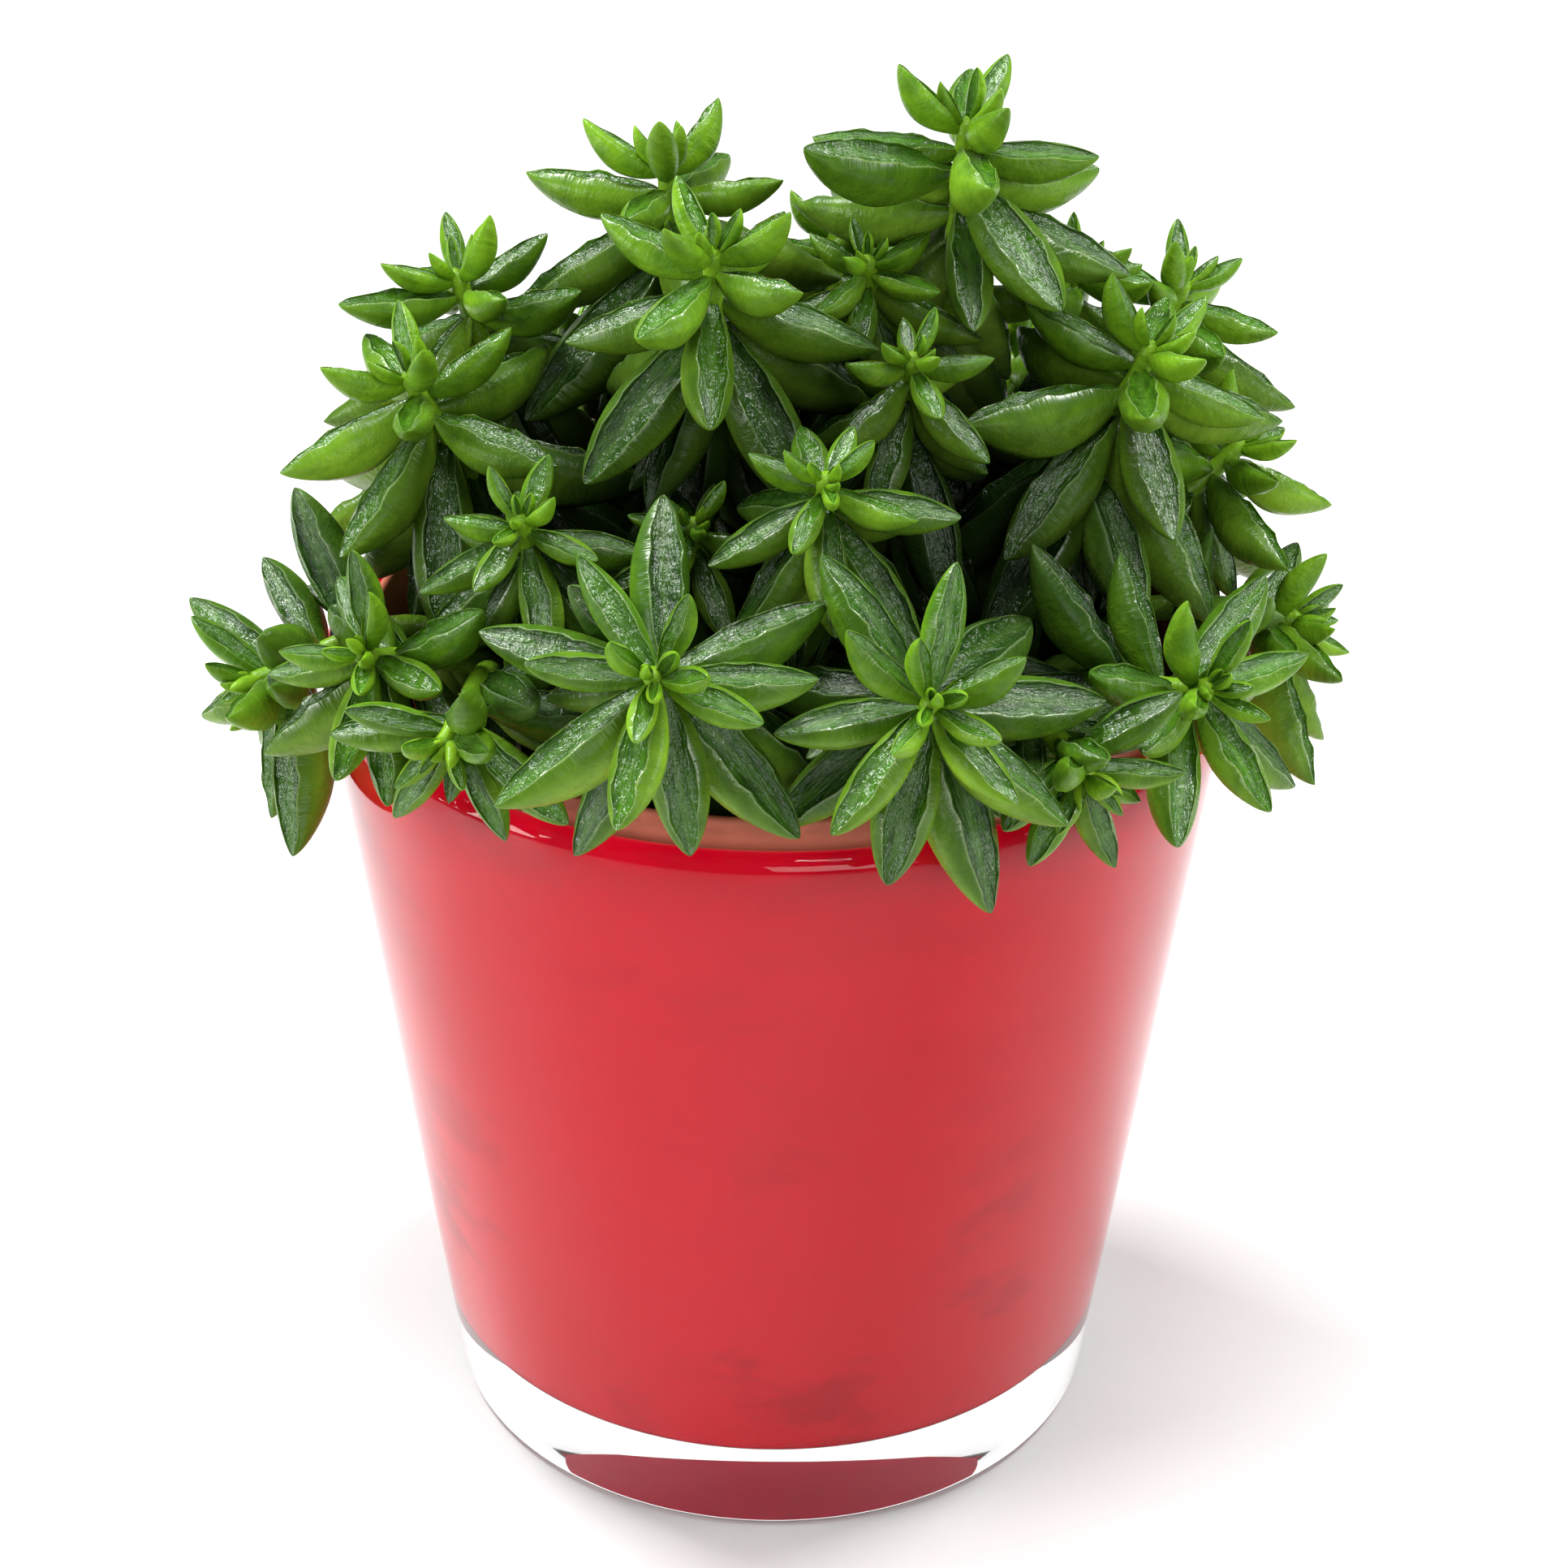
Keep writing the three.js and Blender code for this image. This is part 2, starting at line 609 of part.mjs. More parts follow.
addNode("glass_pot", glassPot(), clearGlass);
addNode("red_inner_layer", redLayer(), redGlass);
addNode("nursery_pot", nurseryPot(), terracottaPlastic);
addNode("soil", soil(), darkSoil);
for (const stem of stems) addNode("stem_" + stem.name, leafyStem(stem), leafGreen);

export default group;
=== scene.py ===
# A happy bean peperomia in its nursery pot, standing in a red cased glass pot.
# Lengths are in millimetres until a mesh is written in metres. -Y faces the viewer.
import math

import bpy
import numpy as np
from mathutils import Matrix, Vector


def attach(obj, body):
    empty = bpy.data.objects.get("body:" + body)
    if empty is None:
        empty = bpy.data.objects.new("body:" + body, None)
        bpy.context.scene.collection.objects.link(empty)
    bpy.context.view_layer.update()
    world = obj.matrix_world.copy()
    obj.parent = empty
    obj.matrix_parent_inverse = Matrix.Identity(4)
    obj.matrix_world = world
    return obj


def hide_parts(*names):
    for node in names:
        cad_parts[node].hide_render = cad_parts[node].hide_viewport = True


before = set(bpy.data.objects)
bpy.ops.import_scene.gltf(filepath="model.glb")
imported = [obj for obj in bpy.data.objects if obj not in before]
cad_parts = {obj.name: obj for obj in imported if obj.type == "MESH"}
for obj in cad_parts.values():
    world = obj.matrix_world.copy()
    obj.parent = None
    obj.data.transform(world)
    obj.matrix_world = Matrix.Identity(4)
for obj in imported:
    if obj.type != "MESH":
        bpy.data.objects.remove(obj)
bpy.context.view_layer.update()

MM = 0.001
DEGREE = math.pi / 180
UP = np.array([0.0, 0.0, 1.0])
SIDEWAYS = np.array([1.0, 0.0, 0.0])

# Glass pot and red layer, as the solids have them
GLASS_TOP = 123.1
SHOULDER_Z = 120.6
SHOULDER_RADIUS = 65
FOOT_RADIUS = 49
LIP_WIDTH = 4.6
FLOOR_Z = 14
FLOOR_RADIUS = 47.5
CORNER_RADIUS = 2
FOOT_ROUNDING = 1.6
WALL_TOP_Z = SHOULDER_Z - 1.5
LIP_START_Z = SHOULDER_Z - 0.6
LIP_RISE = 3.1
LIP_INWARD = 0.05
LAYER_INNER = 1.1
LAYER_TOP_Z = SHOULDER_Z - 0.4

# The red layer is fused to the glass down the wall and over the middle of the floor. Round the rest of the
# floor a film of air lies under it, which mirrors what is in the clear foot.
FUSED = 0.04
FILM = 0.15
WALL_FUSED_TO = 14.5
FLOOR_FUSED_RADIUS = 19
FILM_EDGE = 0.2

# Nursery pot and soil, as the solids have them
NURSERY_WALL = 1.4
NURSERY_FLOOR_Z = 15.4
NURSERY_FOOT_RADIUS = 39
NURSERY_NECK_Z = 110.5
NURSERY_NECK_RADIUS = 55
COLLAR_Z = 112.2
COLLAR_RADIUS = 57.3
COLLAR_TOP = 125.7
COLLAR_TOP_RADIUS = 58.8
SOIL_EDGE_Z = 113.4
SOIL_TOP = 115
SOIL_LEVEL_SHARE = 0.6
SOIL_INSET = NURSERY_WALL + 0.6
SOIL_BOTTOM = NURSERY_FLOOR_Z + NURSERY_WALL + 0.3
ROOT_DEPTH = 12
BEND_BELOW_SOIL = 1
DRAIN_RADIUS = 3
DRAIN_CIRCLE = 26
DRAIN_COUNT = 6

# Stems and leaves, as the solids have them
STEM_RADIUS = 1.9
TIP_RADIUS = 1.35
TIP_DOME = 1.1
RISE_SHARE = 0.42
TIP_SHARE = 0.36
RIM_RISE = 26
HALF_WIDTH = 0.152
DEPTH = 0.32
WHORLS = [
    # leaves, below the tip, length, opening, arch
    (1, 0.2, 5.5, 12, 8),
    (3, 1, 10.5, 44, 14),
    (4, 2.6, 17.5, 64, 20),
    (4, 5.2, 22.5, 80, 26),
    (4, 8.6, 26, 92, 30),
    (4, 12.5, 29, 104, 34),
    (4, 16, 30, 112, 34),
]
WHORL_TURN = 33
HANG = 6
DROOP = 0.12
WORLD_LIFT = 1.5
UPWARD = 0.2
STRETCH = 0.12
BUD_STRETCH = 0.15
BUD_WHORLS = 2
TURN_SPREAD = 14
OPEN_SPREAD = 14
ROLL_SPREAD = 46
ARCH_RANGE = (0.75, 0.5)
LENGTH_RANGE = (0.86, 0.24)
PLUMP_RANGE = (0.9, 0.25)
BELOW_RANGE = (0.9, 0.2)
LEAF_GAP = 0.45
POT_GAP = 0.8
OWN_MARGIN = -1.2
OWN_FREE_FROM = 0.55
SHIFTS = [(0, 0), (0, -9), (9, 0), (-9, 0), (0, 10), (14, -9), (-14, -9), (0, -20), (20, 0), (-20, 0),
          (12, 14), (-12, 14), (22, -20), (-22, -20), (0, -34)]
SHORTER = [1, 0.86, 0.72, 0.58]
TUBE_STEP = 1.5
SAMPLE_STATIONS = 12
FLANK_LEVEL = 0.25
FLANK_OUT = 0.78
FLANK_DOWN = 0.7

# The ball that holds a leaf: its radius as a share of the leaf's length, and how far its middle lies below
# the margins as a share of the leaf's depth
BALL_RADIUS = 0.56
BALL_BELOW = 0.4

# The most leaves that a bank can note
BANK_ROOM = 2200

STEMS = [
    # name, base, tip, the way the tip points, size, first turn, whorls
    ("front_left", (-12, -37), (-15.1, -69, 152), (-0.06, -0.86, 0.5), 0.98, 100, 7),
    ("front_right", (14, -39), (19.3, -69, 148.6), (0.02, -0.85, 0.53), 0.98, 70, 7),
    ("low_left", (-33, -26), (-55, -38, 139), (-0.4, -0.66, 0.64), 0.98, 20, 7),
    ("right_front", (34, -28), (57, -41, 136.5), (0.36, -0.7, 0.62), 1, 50, 7),
    ("centre", (3, -22), (6.2, -42, 166.5), (0.02, -0.55, 0.83), 0.72, 0, 6),
    ("mid_left", (-23, -21), (-33.5, -38, 158.5), (-0.12, -0.5, 0.86), 0.68, 90, 6),
    ("far_left", (-43, -9), (-73, -16, 123), (-0.85, -0.5, -0.02), 0.95, 75, 6),
    ("far_right", (44, -5), (74, -2, 127), (0.88, -0.2, 0.3), 0.95, 60, 6),
    ("upper_right", (30, -8), (51, -1, 168), (0.32, -0.16, 0.93), 1.12, 15, 6),
    ("upper_left", (-29, -5), (-51, -3, 163.5), (-0.42, -0.16, 0.89), 1.1, 40, 7),
    ("upper_mid", (-9, -5), (-9, -12, 185.5), (-0.02, -0.2, 0.98), 1.05, 80, 6),
    ("rim_left", (-38, -27), (-43, -54, 134), (-0.4, -0.8, -0.3), 0.85, 75, 6),
    ("rim_right", (27, -40), (40, -58, 132), (0.35, -0.8, -0.3), 0.8, 45, 5),
    ("dark_mid", (-10, -19), (-11, -29, 154), (0.05, -0.4, 0.9), 0.6, 10, 4),
    ("inner_right", (14, -10), (18, -15, 172), (0.1, -0.35, 0.93), 0.62, 35, 5),
    ("inner_back", (7, 5), (12, 5, 178), (-0.05, -0.3, 0.95), 0.68, 75, 5),
    ("top_right", (20, 12), (25.4, 14, 194.5), (0.03, -0.08, 1), 1.22, 25, 7),
    ("upper_back", (30, 12), (42, 22, 171), (0.1, -0.1, 0.98), 0.8, 65, 5),
    ("back_left", (-12, 16), (-16.4, 28, 183), (-0.08, 0.12, 0.99), 1.2, 5, 7),
    ("back_far_left", (-34, 13), (-46, 21, 169), (-0.3, 0.05, 0.93), 1, 55, 6),
    ("back_right", (43, 12), (58, 28, 166), (0.3, 0.12, 0.94), 0.95, 85, 6),
    ("side_right", (47, 6), (66, 14, 147), (0.6, 0.1, 0.75), 0.95, 30, 6),
    ("back_middle", (6, 27), (8, 47, 166), (0.02, 0.45, 0.89), 0.95, 45, 5),
    ("back_low_left", (-23, 32), (-32, 51, 148), (-0.3, 0.66, 0.68), 0.92, 70, 4),
    ("back_low_right", (26, 34), (37, 53, 146), (0.32, 0.66, 0.68), 0.92, 15, 4),
    ("rear_rim", (1, 44), (2, 67, 134), (0, 0.88, 0.46), 0.86, 35, 4),
    ("rear_left", (-39, 25), (-56, 38, 136), (-0.62, 0.48, 0.6), 0.84, 60, 4),
    ("rear_right", (39, 26), (60, 40, 134), (0.64, 0.48, 0.58), 0.84, 5, 4),
]

# Leaves that only the looks have. A few fill each bud, given as distance below the tip, length and opening.
BUD_LEAVES = [(0.4, 4.2, 22), (0.7, 6.5, 30), (1.0, 7.5, 34)]
BUD_TURN = 137
BUD_ARCH = 12
BUD_PLUMP = 1.1
BUD_SEED = 20

# Old ones grow down the stems inside the bush, in whorls that are numbered on from INNER_FROM.
INNER_WHORLS = 8
INNER_FROM = 8
INNER_START = 0.8
INNER_STEP = 6.0
INNER_ABOVE_SOIL = 8
INNER_LEAVES = 4
INNER_LENGTH = 26
INNER_OPEN = 84
INNER_OPEN_STEP = 3
INNER_ARCH = 46
# The least painted shade that these inner leaves get, however near the outside they lie
INNER_SHADE = 0.35

# The dome of the bush: its middle and reach. Leaves get painted shade, darker and less glossy, from OUTSIDE
# of the reach inwards, in full within INSIDE of it.
DOME_MIDDLE = (0, 0, 120)
DOME_REACH = (72, 68, 68)
OUTSIDE = 0.96
INSIDE = 0.55

# Where a leaf's margins lie across its half width, how wide and high their pale lines are, and how far out
# the dark window between them reaches, steps down and is sunk
MARGIN_OUT = 0.58
MARGIN_WIDTH = 0.03
MARGIN_RISE = 0.02
WINDOW_OUT = 0.93
WINDOW_STEP = 0.05
WINDOW_SUNK = 0.16

# The waves along the margins of a leaf: lengths and shares, their height, how they are shifted out and down
# from one margin to the other, and the length of a leaf that has them in full
WAVES = ((7.5, 0.6), (4.2, 0.4))
WAVE_HEIGHT = 0.3
WAVE_OUT_SHIFT = 1.3
WAVE_DOWN_SHIFT = 2.1
WAVED_FROM = 22

# How far a leaf may sway to one side as a share of its length, and where its mesh starts and ends along it
SWAY = 0.03
LEAF_ENDS = (0.02, 0.985)

# The knots of a stem: their height as a share of its radius, and their wave in radians a millimetre
KNOT_HEIGHT = 0.05
KNOT_RATE = 0.9

# How far the grain of the material is shifted from stem to stem and from leaf to leaf
GRAIN_BY_STEM = 3.7
GRAIN_BY_LEAF = 37

# How many radians a wave may be shifted along, about a full turn
PHASE = 6.3

# The soil's waves, roughness and crumbs
SOIL_SEED = (5, 5, 5)
SOIL_WAVES = 14
SOIL_WAVE_HEIGHT = 1.4
SOIL_SUNK = 0.3
SOIL_ROUGHNESS = 0.5
CRUMBS = 900
CRUMB_SIZE = 0.35
CRUMB_SPREAD = 1.1
CRUMB_SIDES = 5
CRUMB_RINGS = ((-0.7, 0.7), (0.0, 1.0), (0.75, 0.6))
CRUMB_CLEARANCE = 1.5

# Fineness of the meshes
POT_SIDES = 160
STEM_SIDES = 14
STEM_RINGS = 44
LEAF_STATIONS = 24
INNER_STATIONS = 13
LIP_STEPS = 16
SOIL_RINGS = 46
SOIL_SIDES = 120


# Camera

CAMERA_FOCUS = 4676.8
IMAGE_WIDTH = 1932
SENSOR_WIDTH = 36
CAMERA_PLACE = (1.12, -484.2, 370.1)
CAMERA_PITCH = 0.5116
CAMERA_ROLL = 0.0084


def add_camera():
    data = bpy.data.cameras.new("camera")
    data.sensor_width = SENSOR_WIDTH
    data.lens = CAMERA_FOCUS / IMAGE_WIDTH * SENSOR_WIDTH
    data.clip_start = 0.01
    camera = bpy.data.objects.new("camera", data)
    forward = Vector((0, math.cos(CAMERA_PITCH), -math.sin(CAMERA_PITCH)))
    right = Vector((1, 0, 0))
    above = right.cross(forward)
    turned_right = right * math.cos(CAMERA_ROLL) + above * math.sin(CAMERA_ROLL)
    turned_up = -right * math.sin(CAMERA_ROLL) + above * math.cos(CAMERA_ROLL)
    matrix = Matrix((turned_right, turned_up, -forward)).transposed().to_4x4()
    matrix.translation = Vector(CAMERA_PLACE) * MM
    camera.matrix_world = matrix
    bpy.context.scene.collection.objects.link(camera)
    bpy.context.scene.camera = camera


add_camera()


# Where the stems and leaves lie

def dice(*counts):
    """Draws from 0 to 1 that are the same each time for the same counts."""
    primes = (374761393, 668265263, 974634777)
    state = sum((count + 1) * prime for count, prime in zip(counts, primes)) & 0xFFFFFFFF

    def draw():
        nonlocal state
        state = (state * 1664525 + 1013904223) & 0xFFFFFFFF
        return state / 4294967296

    draw()
    draw()
    return draw


def unit(v):
    return v / math.sqrt(float(v @ v))


def square_to(v, axis):
    return unit(v - axis * float(v @ axis))


def turn_about(v, axis, angle):
    c = math.cos(angle)
    s = math.sin(angle)
    return v * c + np.cross(axis, v) * s + axis * float(axis @ v) * (1 - c)


def make_stem(index, row):
    name, base, tip, lean, size, turn, whorls = row
    start = np.array([base[0], base[1], SOIL_TOP - BEND_BELOW_SOIL], float)
    end = np.array(tip, float)
    axis = unit(np.array(lean, float))
    span = float(np.linalg.norm(end - start))
    over_rim = math.hypot(end[0], end[1]) > COLLAR_RADIUS
    rise = max(RIM_RISE if over_rim else 0, span * RISE_SHARE)
    upright = max(0.0, axis[2]) ** 2
    return dict(name=name, index=index, base=start, size=size, turn=turn, whorls=whorls, span=span,
                curve=(start, start + UP * rise, end - axis * TIP_SHARE * span, end),
                stretch=1 + STRETCH * upright, bud=1 + BUD_STRETCH * upright, hang=HANG * upright,
                leaves=[])


def stem_at(stem, t):
    """Place and heading of a stem at t from 0 at the soil to 1 at the tip."""
    a, b, c, d = stem["curve"]
    u = 1 - t
    place = a * u ** 3 + b * 3 * u * u * t + c * 3 * u * t * t + d * t ** 3
    heading = unit((b - a) * u * u + (c - b) * 2 * t * u + (d - c) * t * t)
    return place, heading


def width_share(s):
    """Half width of a leaf at s along it, as a share of the most."""
    return np.maximum(np.sin(np.pi * np.power(s, 1.12)), 0) ** 0.62


def depth_share(s):
    """Depth of a leaf at s along it, as a share of the most."""
    return np.maximum(np.sin(np.pi * np.power(s, 0.98)), 0) ** 0.68


def flank_share(level):
    """Half width of a leaf at a level from its margins, 0, to its keel, 1, as a share of the most."""
    fall = np.clip((level - FLANK_LEVEL) / (1 - FLANK_LEVEL), 0, 1)
    return np.sqrt(1 - fall * fall)


def leaf_points(leaf, s, aside, below):
    """Points of a leaf at s along it, aside of its middle line and below its margins."""
    angle = (leaf["bend"] * (s - 0.5))[..., None]
    r = (leaf["radius"] - below)[..., None]
    return (leaf["middle"] + leaf["forward"] * r * np.sin(angle) + leaf["up"] * r * np.cos(angle)
            + leaf["side"] * aside[..., None])


SAMPLE_S = np.arange(1, SAMPLE_STATIONS) / SAMPLE_STATIONS
SAMPLE_W = width_share(SAMPLE_S)
SAMPLE_D = depth_share(SAMPLE_S)


def make_leaf(root, forward, up, length, arch, plump):
    bend = arch * DEGREE
    radius = length / bend
    half = length * HALF_WIDTH * plump
    depth = length * DEPTH * (2 - plump)
    leaf = dict(forward=forward, up=up, side=np.cross(forward, up), bend=bend, radius=radius, length=length,
                half=half, depth=depth, reach=length * BALL_RADIUS,
                middle=root + forward * radius * math.sin(bend / 2) - up * radius * math.cos(bend / 2))
    w = half * SAMPLE_W
    d = depth * SAMPLE_D
    zero = np.zeros_like(w)
    s = np.concatenate([[1.0], np.tile(SAMPLE_S, 5), [0.5]])
    aside = np.concatenate([[0.0], w, -w, zero, w * FLANK_OUT, -w * FLANK_OUT, [0.0]])
    below = np.concatenate([[0.0], zero, zero, d, d * FLANK_DOWN, d * FLANK_DOWN, [depth * BALL_BELOW]])
    points = leaf_points(leaf, s, aside, below)
    leaf["points"] = points[:-1]
    leaf["centre"] = points[-1]
    return leaf


VECTORS = ("forward", "up", "side", "middle", "centre")
NUMBERS = ("bend", "radius", "length", "half", "depth", "reach")


class Bank:
    """All the leaves placed so far, as arrays."""

    def __init__(self, room):
        self.count = 0
        self.owner = np.zeros(room, int)
        self.points = np.zeros((room, 5 * (SAMPLE_STATIONS - 1) + 1, 3))
        self.fields = {key: np.zeros((room, 3)) for key in VECTORS}
        self.fields.update({key: np.zeros(room) for key in NUMBERS})

    def add(self, leaf, owner):
        n = self.count
        self.owner[n] = owner
        self.points[n] = leaf["points"]
        for key, values in self.fields.items():
            values[n] = leaf[key]
        self.count += 1

    def rows(self, chosen):
        picked = {key: self.fields[key][chosen][:, None, :] for key in VECTORS}
        picked.update({key: self.fields[key][chosen][:, None] for key in NUMBERS})
        return picked


def inside(leaf, points, margin, start):
    """Which points lie in a leaf grown by margin, past s = start along it."""
    rel = points - leaf["middle"]
    aside = np.abs((rel * leaf["side"]).sum(-1))
    ahead = (rel * leaf["forward"]).sum(-1)
    above = (rel * leaf["up"]).sum(-1)
    below = leaf["radius"] - np.hypot(ahead, above)
    s = np.arctan2(ahead, above) / leaf["bend"] + 0.5
    over = margin / leaf["length"]
    inner = np.clip(s, 0, 1)
    d = leaf["depth"] * depth_share(inner)
    level = np.clip(below / np.maximum(d, 0.01), 0, 1)
    wide = leaf["half"] * width_share(inner) * flank_share(level) + margin
    return ((aside <= leaf["half"] + margin) & (below >= -margin) & (below <= leaf["depth"] + margin)
            & (s >= start - over) & (s <= 1 + over) & (below <= d + margin) & (aside < wide))


def clear_of_pot(points):
    """Whether all points lie over the soil, over the rims or beside the glass."""
    r = np.hypot(points[:, 0], points[:, 1])
    z = points[:, 2]
    above = z > COLLAR_TOP + POT_GAP
    within = (r < COLLAR_RADIUS - NURSERY_WALL - POT_GAP) & (z > SOIL_TOP + POT_GAP)
    outer = FOOT_RADIUS + (SHOULDER_RADIUS - FOOT_RADIUS) * z / SHOULDER_Z
    over_glass = (z > GLASS_TOP + POT_GAP) & (r > COLLAR_TOP_RADIUS + POT_GAP)
    beside = (z <= GLASS_TOP + POT_GAP) & (r > outer + POT_GAP)
    not_within = r >= COLLAR_RADIUS - NURSERY_WALL - POT_GAP
    return bool(np.all(above | within | (not_within & (over_glass | beside))))


def leaf_is_clear(leaf, stem, bank):
    if not clear_of_pot(leaf["points"]):
        return False
    if inside(leaf, TUBES[TUBE_OWNER != stem["index"]], STEM_RADIUS + LEAF_GAP, 0).any():
        return False
    count = bank.count
    gap = bank.fields["centre"][:count] - leaf["centre"]
    square = (gap * gap).sum(-1)
    own = bank.owner[:count] == stem["index"]
    for mine, margin, start in ((False, LEAF_GAP, 0), (True, OWN_MARGIN, OWN_FREE_FROM)):
        reach = bank.fields["reach"][:count] + leaf["reach"] + margin
        near = np.nonzero((own == mine) & (square < reach * reach))[0]
        if len(near) == 0:
            continue
        if inside(leaf, bank.points[near], margin, start).any():
            return False
        if inside(bank.rows(near), leaf["points"][None], margin, start).any():
            return False
    return True


def place_leaf(stem, bank, whorl, number, leaves, below, length, opening, arch):
    """Grows one leaf where there is room for it, turned, lifted or shortened if need be."""
    draw = dice(stem["index"], whorl, number)
    even_turn = stem["turn"] + whorl * WHORL_TURN + number * 360 / leaves
    turn = even_turn + TURN_SPREAD * (draw() - 0.5)
    opening = opening + stem["hang"] * max(0, min(whorl, len(WHORLS)) - 1) + OPEN_SPREAD * (draw() - 0.5)
    arch = arch * (ARCH_RANGE[0] + ARCH_RANGE[1] * draw())
    drawn = stem["bud"] if whorl < BUD_WHORLS else 1
    length = length * stem["size"] * drawn * (LENGTH_RANGE[0] + LENGTH_RANGE[1] * draw())
    roll = ROLL_SPREAD * DEGREE * (draw() - 0.5)
    plump = PLUMP_RANGE[0] + PLUMP_RANGE[1] * draw()
    below = below * stem["size"] * stem["stretch"] * (BELOW_RANGE[0] + BELOW_RANGE[1] * draw())
    place, heading = stem_at(stem, 1 - below / stem["span"])
    first = square_to(SIDEWAYS, heading)
    second = np.cross(heading, first)
    for shorter in SHORTER:
        for aside, away in SHIFTS:
            around = (turn + aside) * DEGREE
            angle = (opening + away) * DEGREE
            outward = first * math.cos(around) + second * math.sin(around)
            droop = UP * DROOP * min(whorl, len(WHORLS))
            forward = unit(heading * math.cos(angle) + outward * math.sin(angle) - droop)
            towards = heading * math.sin(angle) - outward * math.cos(angle) + UP * WORLD_LIFT
            up = turn_about(square_to(towards, forward), forward, roll)
            held = 1 - UPWARD * float(forward[2]) if whorl >= BUD_WHORLS else 1
            leaf = make_leaf(place, forward, up, length * shorter * held, arch, plump)
            if leaf_is_clear(leaf, stem, bank):
                leaf["age"] = min(whorl / (len(WHORLS) - 1), 1)
                leaf["whorl"] = whorl
                leaf["seed"] = (stem["index"], whorl, number)
                bank.add(leaf, stem["index"])
                stem["leaves"].append(leaf)
                return


stems = [make_stem(index, row) for index, row in enumerate(STEMS)]
for stem in stems:
    steps = math.ceil(stem["span"] / TUBE_STEP)
    stem["tube"] = np.array([stem_at(stem, i / steps)[0] for i in range(steps + 1)])
TUBES = np.concatenate([stem["tube"] for stem in stems])
TUBE_OWNER = np.concatenate([np.full(len(stem["tube"]), stem["index"]) for stem in stems])

bank = Bank(BANK_ROOM)
for whorl, (leaves, below, length, opening, arch) in enumerate(WHORLS):
    for stem in stems:
        if whorl < stem["whorls"]:
            for number in range(leaves):
                place_leaf(stem, bank, whorl, number, leaves, below, length, opening, arch)

# Old leaves further down each stem fill the inside of the bush.
for level in range(INNER_WHORLS):
    for stem in stems:
        scale = stem["size"] * stem["stretch"]
        last = WHORLS[stem["whorls"] - 1][1] * stem["size"] * stem["stretch"]
        below = last + INNER_STEP * (level + INNER_START)
        if below > stem["span"] - INNER_ABOVE_SOIL:
            continue
        length = INNER_LENGTH / stem["size"] * (0.75 + 0.25 * stem["size"])
        opening = INNER_OPEN + INNER_OPEN_STEP * level
        for number in range(INNER_LEAVES):
            place_leaf(stem, bank, INNER_FROM + level, number, INNER_LEAVES, below / scale, length, opening,
                       INNER_ARCH)


# Mesh helpers

def add_object(name, points, faces, attributes, material, replaced):
    """A smooth mesh object from points in millimetres."""
    mesh = bpy.data.meshes.new(name)
    mesh.from_pydata((np.asarray(points) * MM).tolist(), [], faces)
    for key, values in attributes.items():
        values = np.asarray(values, dtype=np.float32)
        if values.ndim == 2:
            layer = mesh.attributes.new(key, "FLOAT_VECTOR", "POINT")
            layer.data.foreach_set("vector", values.ravel())
        else:
            layer = mesh.attributes.new(key, "FLOAT", "POINT")
            layer.data.foreach_set("value", values)
    mesh.polygons.foreach_set("use_smooth", [True] * len(mesh.polygons))
    mesh.materials.append(material)
    mesh.update()
    piece = bpy.data.objects.new(name, mesh)
    bpy.context.scene.collection.objects.link(piece)
    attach(piece, "root")
    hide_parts(replaced)
    return piece


def grid_faces(rows, columns, first=0, flip=False):
    """Quads of a grid of rows by columns, joined round its columns."""
    faces = []
    for i in range(rows - 1):
        for j in range(columns):
            k = (j + 1) % columns
            a = first + i * columns
            b = a + columns
            quad = (a + j, a + k, b + k, b + j)
            faces.append(quad[::-1] if flip else quad)
    return faces


def turned(profile):
    """Points and faces of a profile turned about Z. Points on the axis become one."""
    sides = POT_SIDES
    points = []
    rings = []
    for r, z in profile:
        if r < 1e-6:
            rings.append([len(points)])
            points.append((0.0, 0.0, z))
        else:
            rings.append(list(range(len(points), len(points) + sides)))
            for i in range(sides):
                a = 2 * math.pi * i / sides
                points.append((r * math.cos(a), r * math.sin(a), z))
    faces = []
    pairs = list(zip(rings, rings[1:]))
    if len(rings[0]) > 1:
        pairs.append((rings[-1], rings[0]))
    for low, high in pairs:
        for i in range(sides):
            j = (i + 1) % sides
            if len(low) == 1:
                faces.append((low[0], high[j], high[i]))
            elif len(high) == 1:
                faces.append((low[i], low[j], high[0]))
            else:
                faces.append((low[i], low[j], high[j], high[i]))
    return points, faces


def arc(middle, radius, start, end, steps):
    """Points of an arc in the profile plane, angles in degrees."""
    points = []
    for i in range(steps + 1):
        a = (start + (end - start) * i / steps) * DEGREE
        points.append((middle[0] + radius * math.cos(a), middle[1] + radius * math.sin(a)))
    return points


def along(a, b, steps):
    """Points from a to b, without the ends."""
    return [(a[0] + (b[0] - a[0]) * i / steps, a[1] + (b[1] - a[1]) * i / steps) for i in range(1, steps)]


# Material helpers

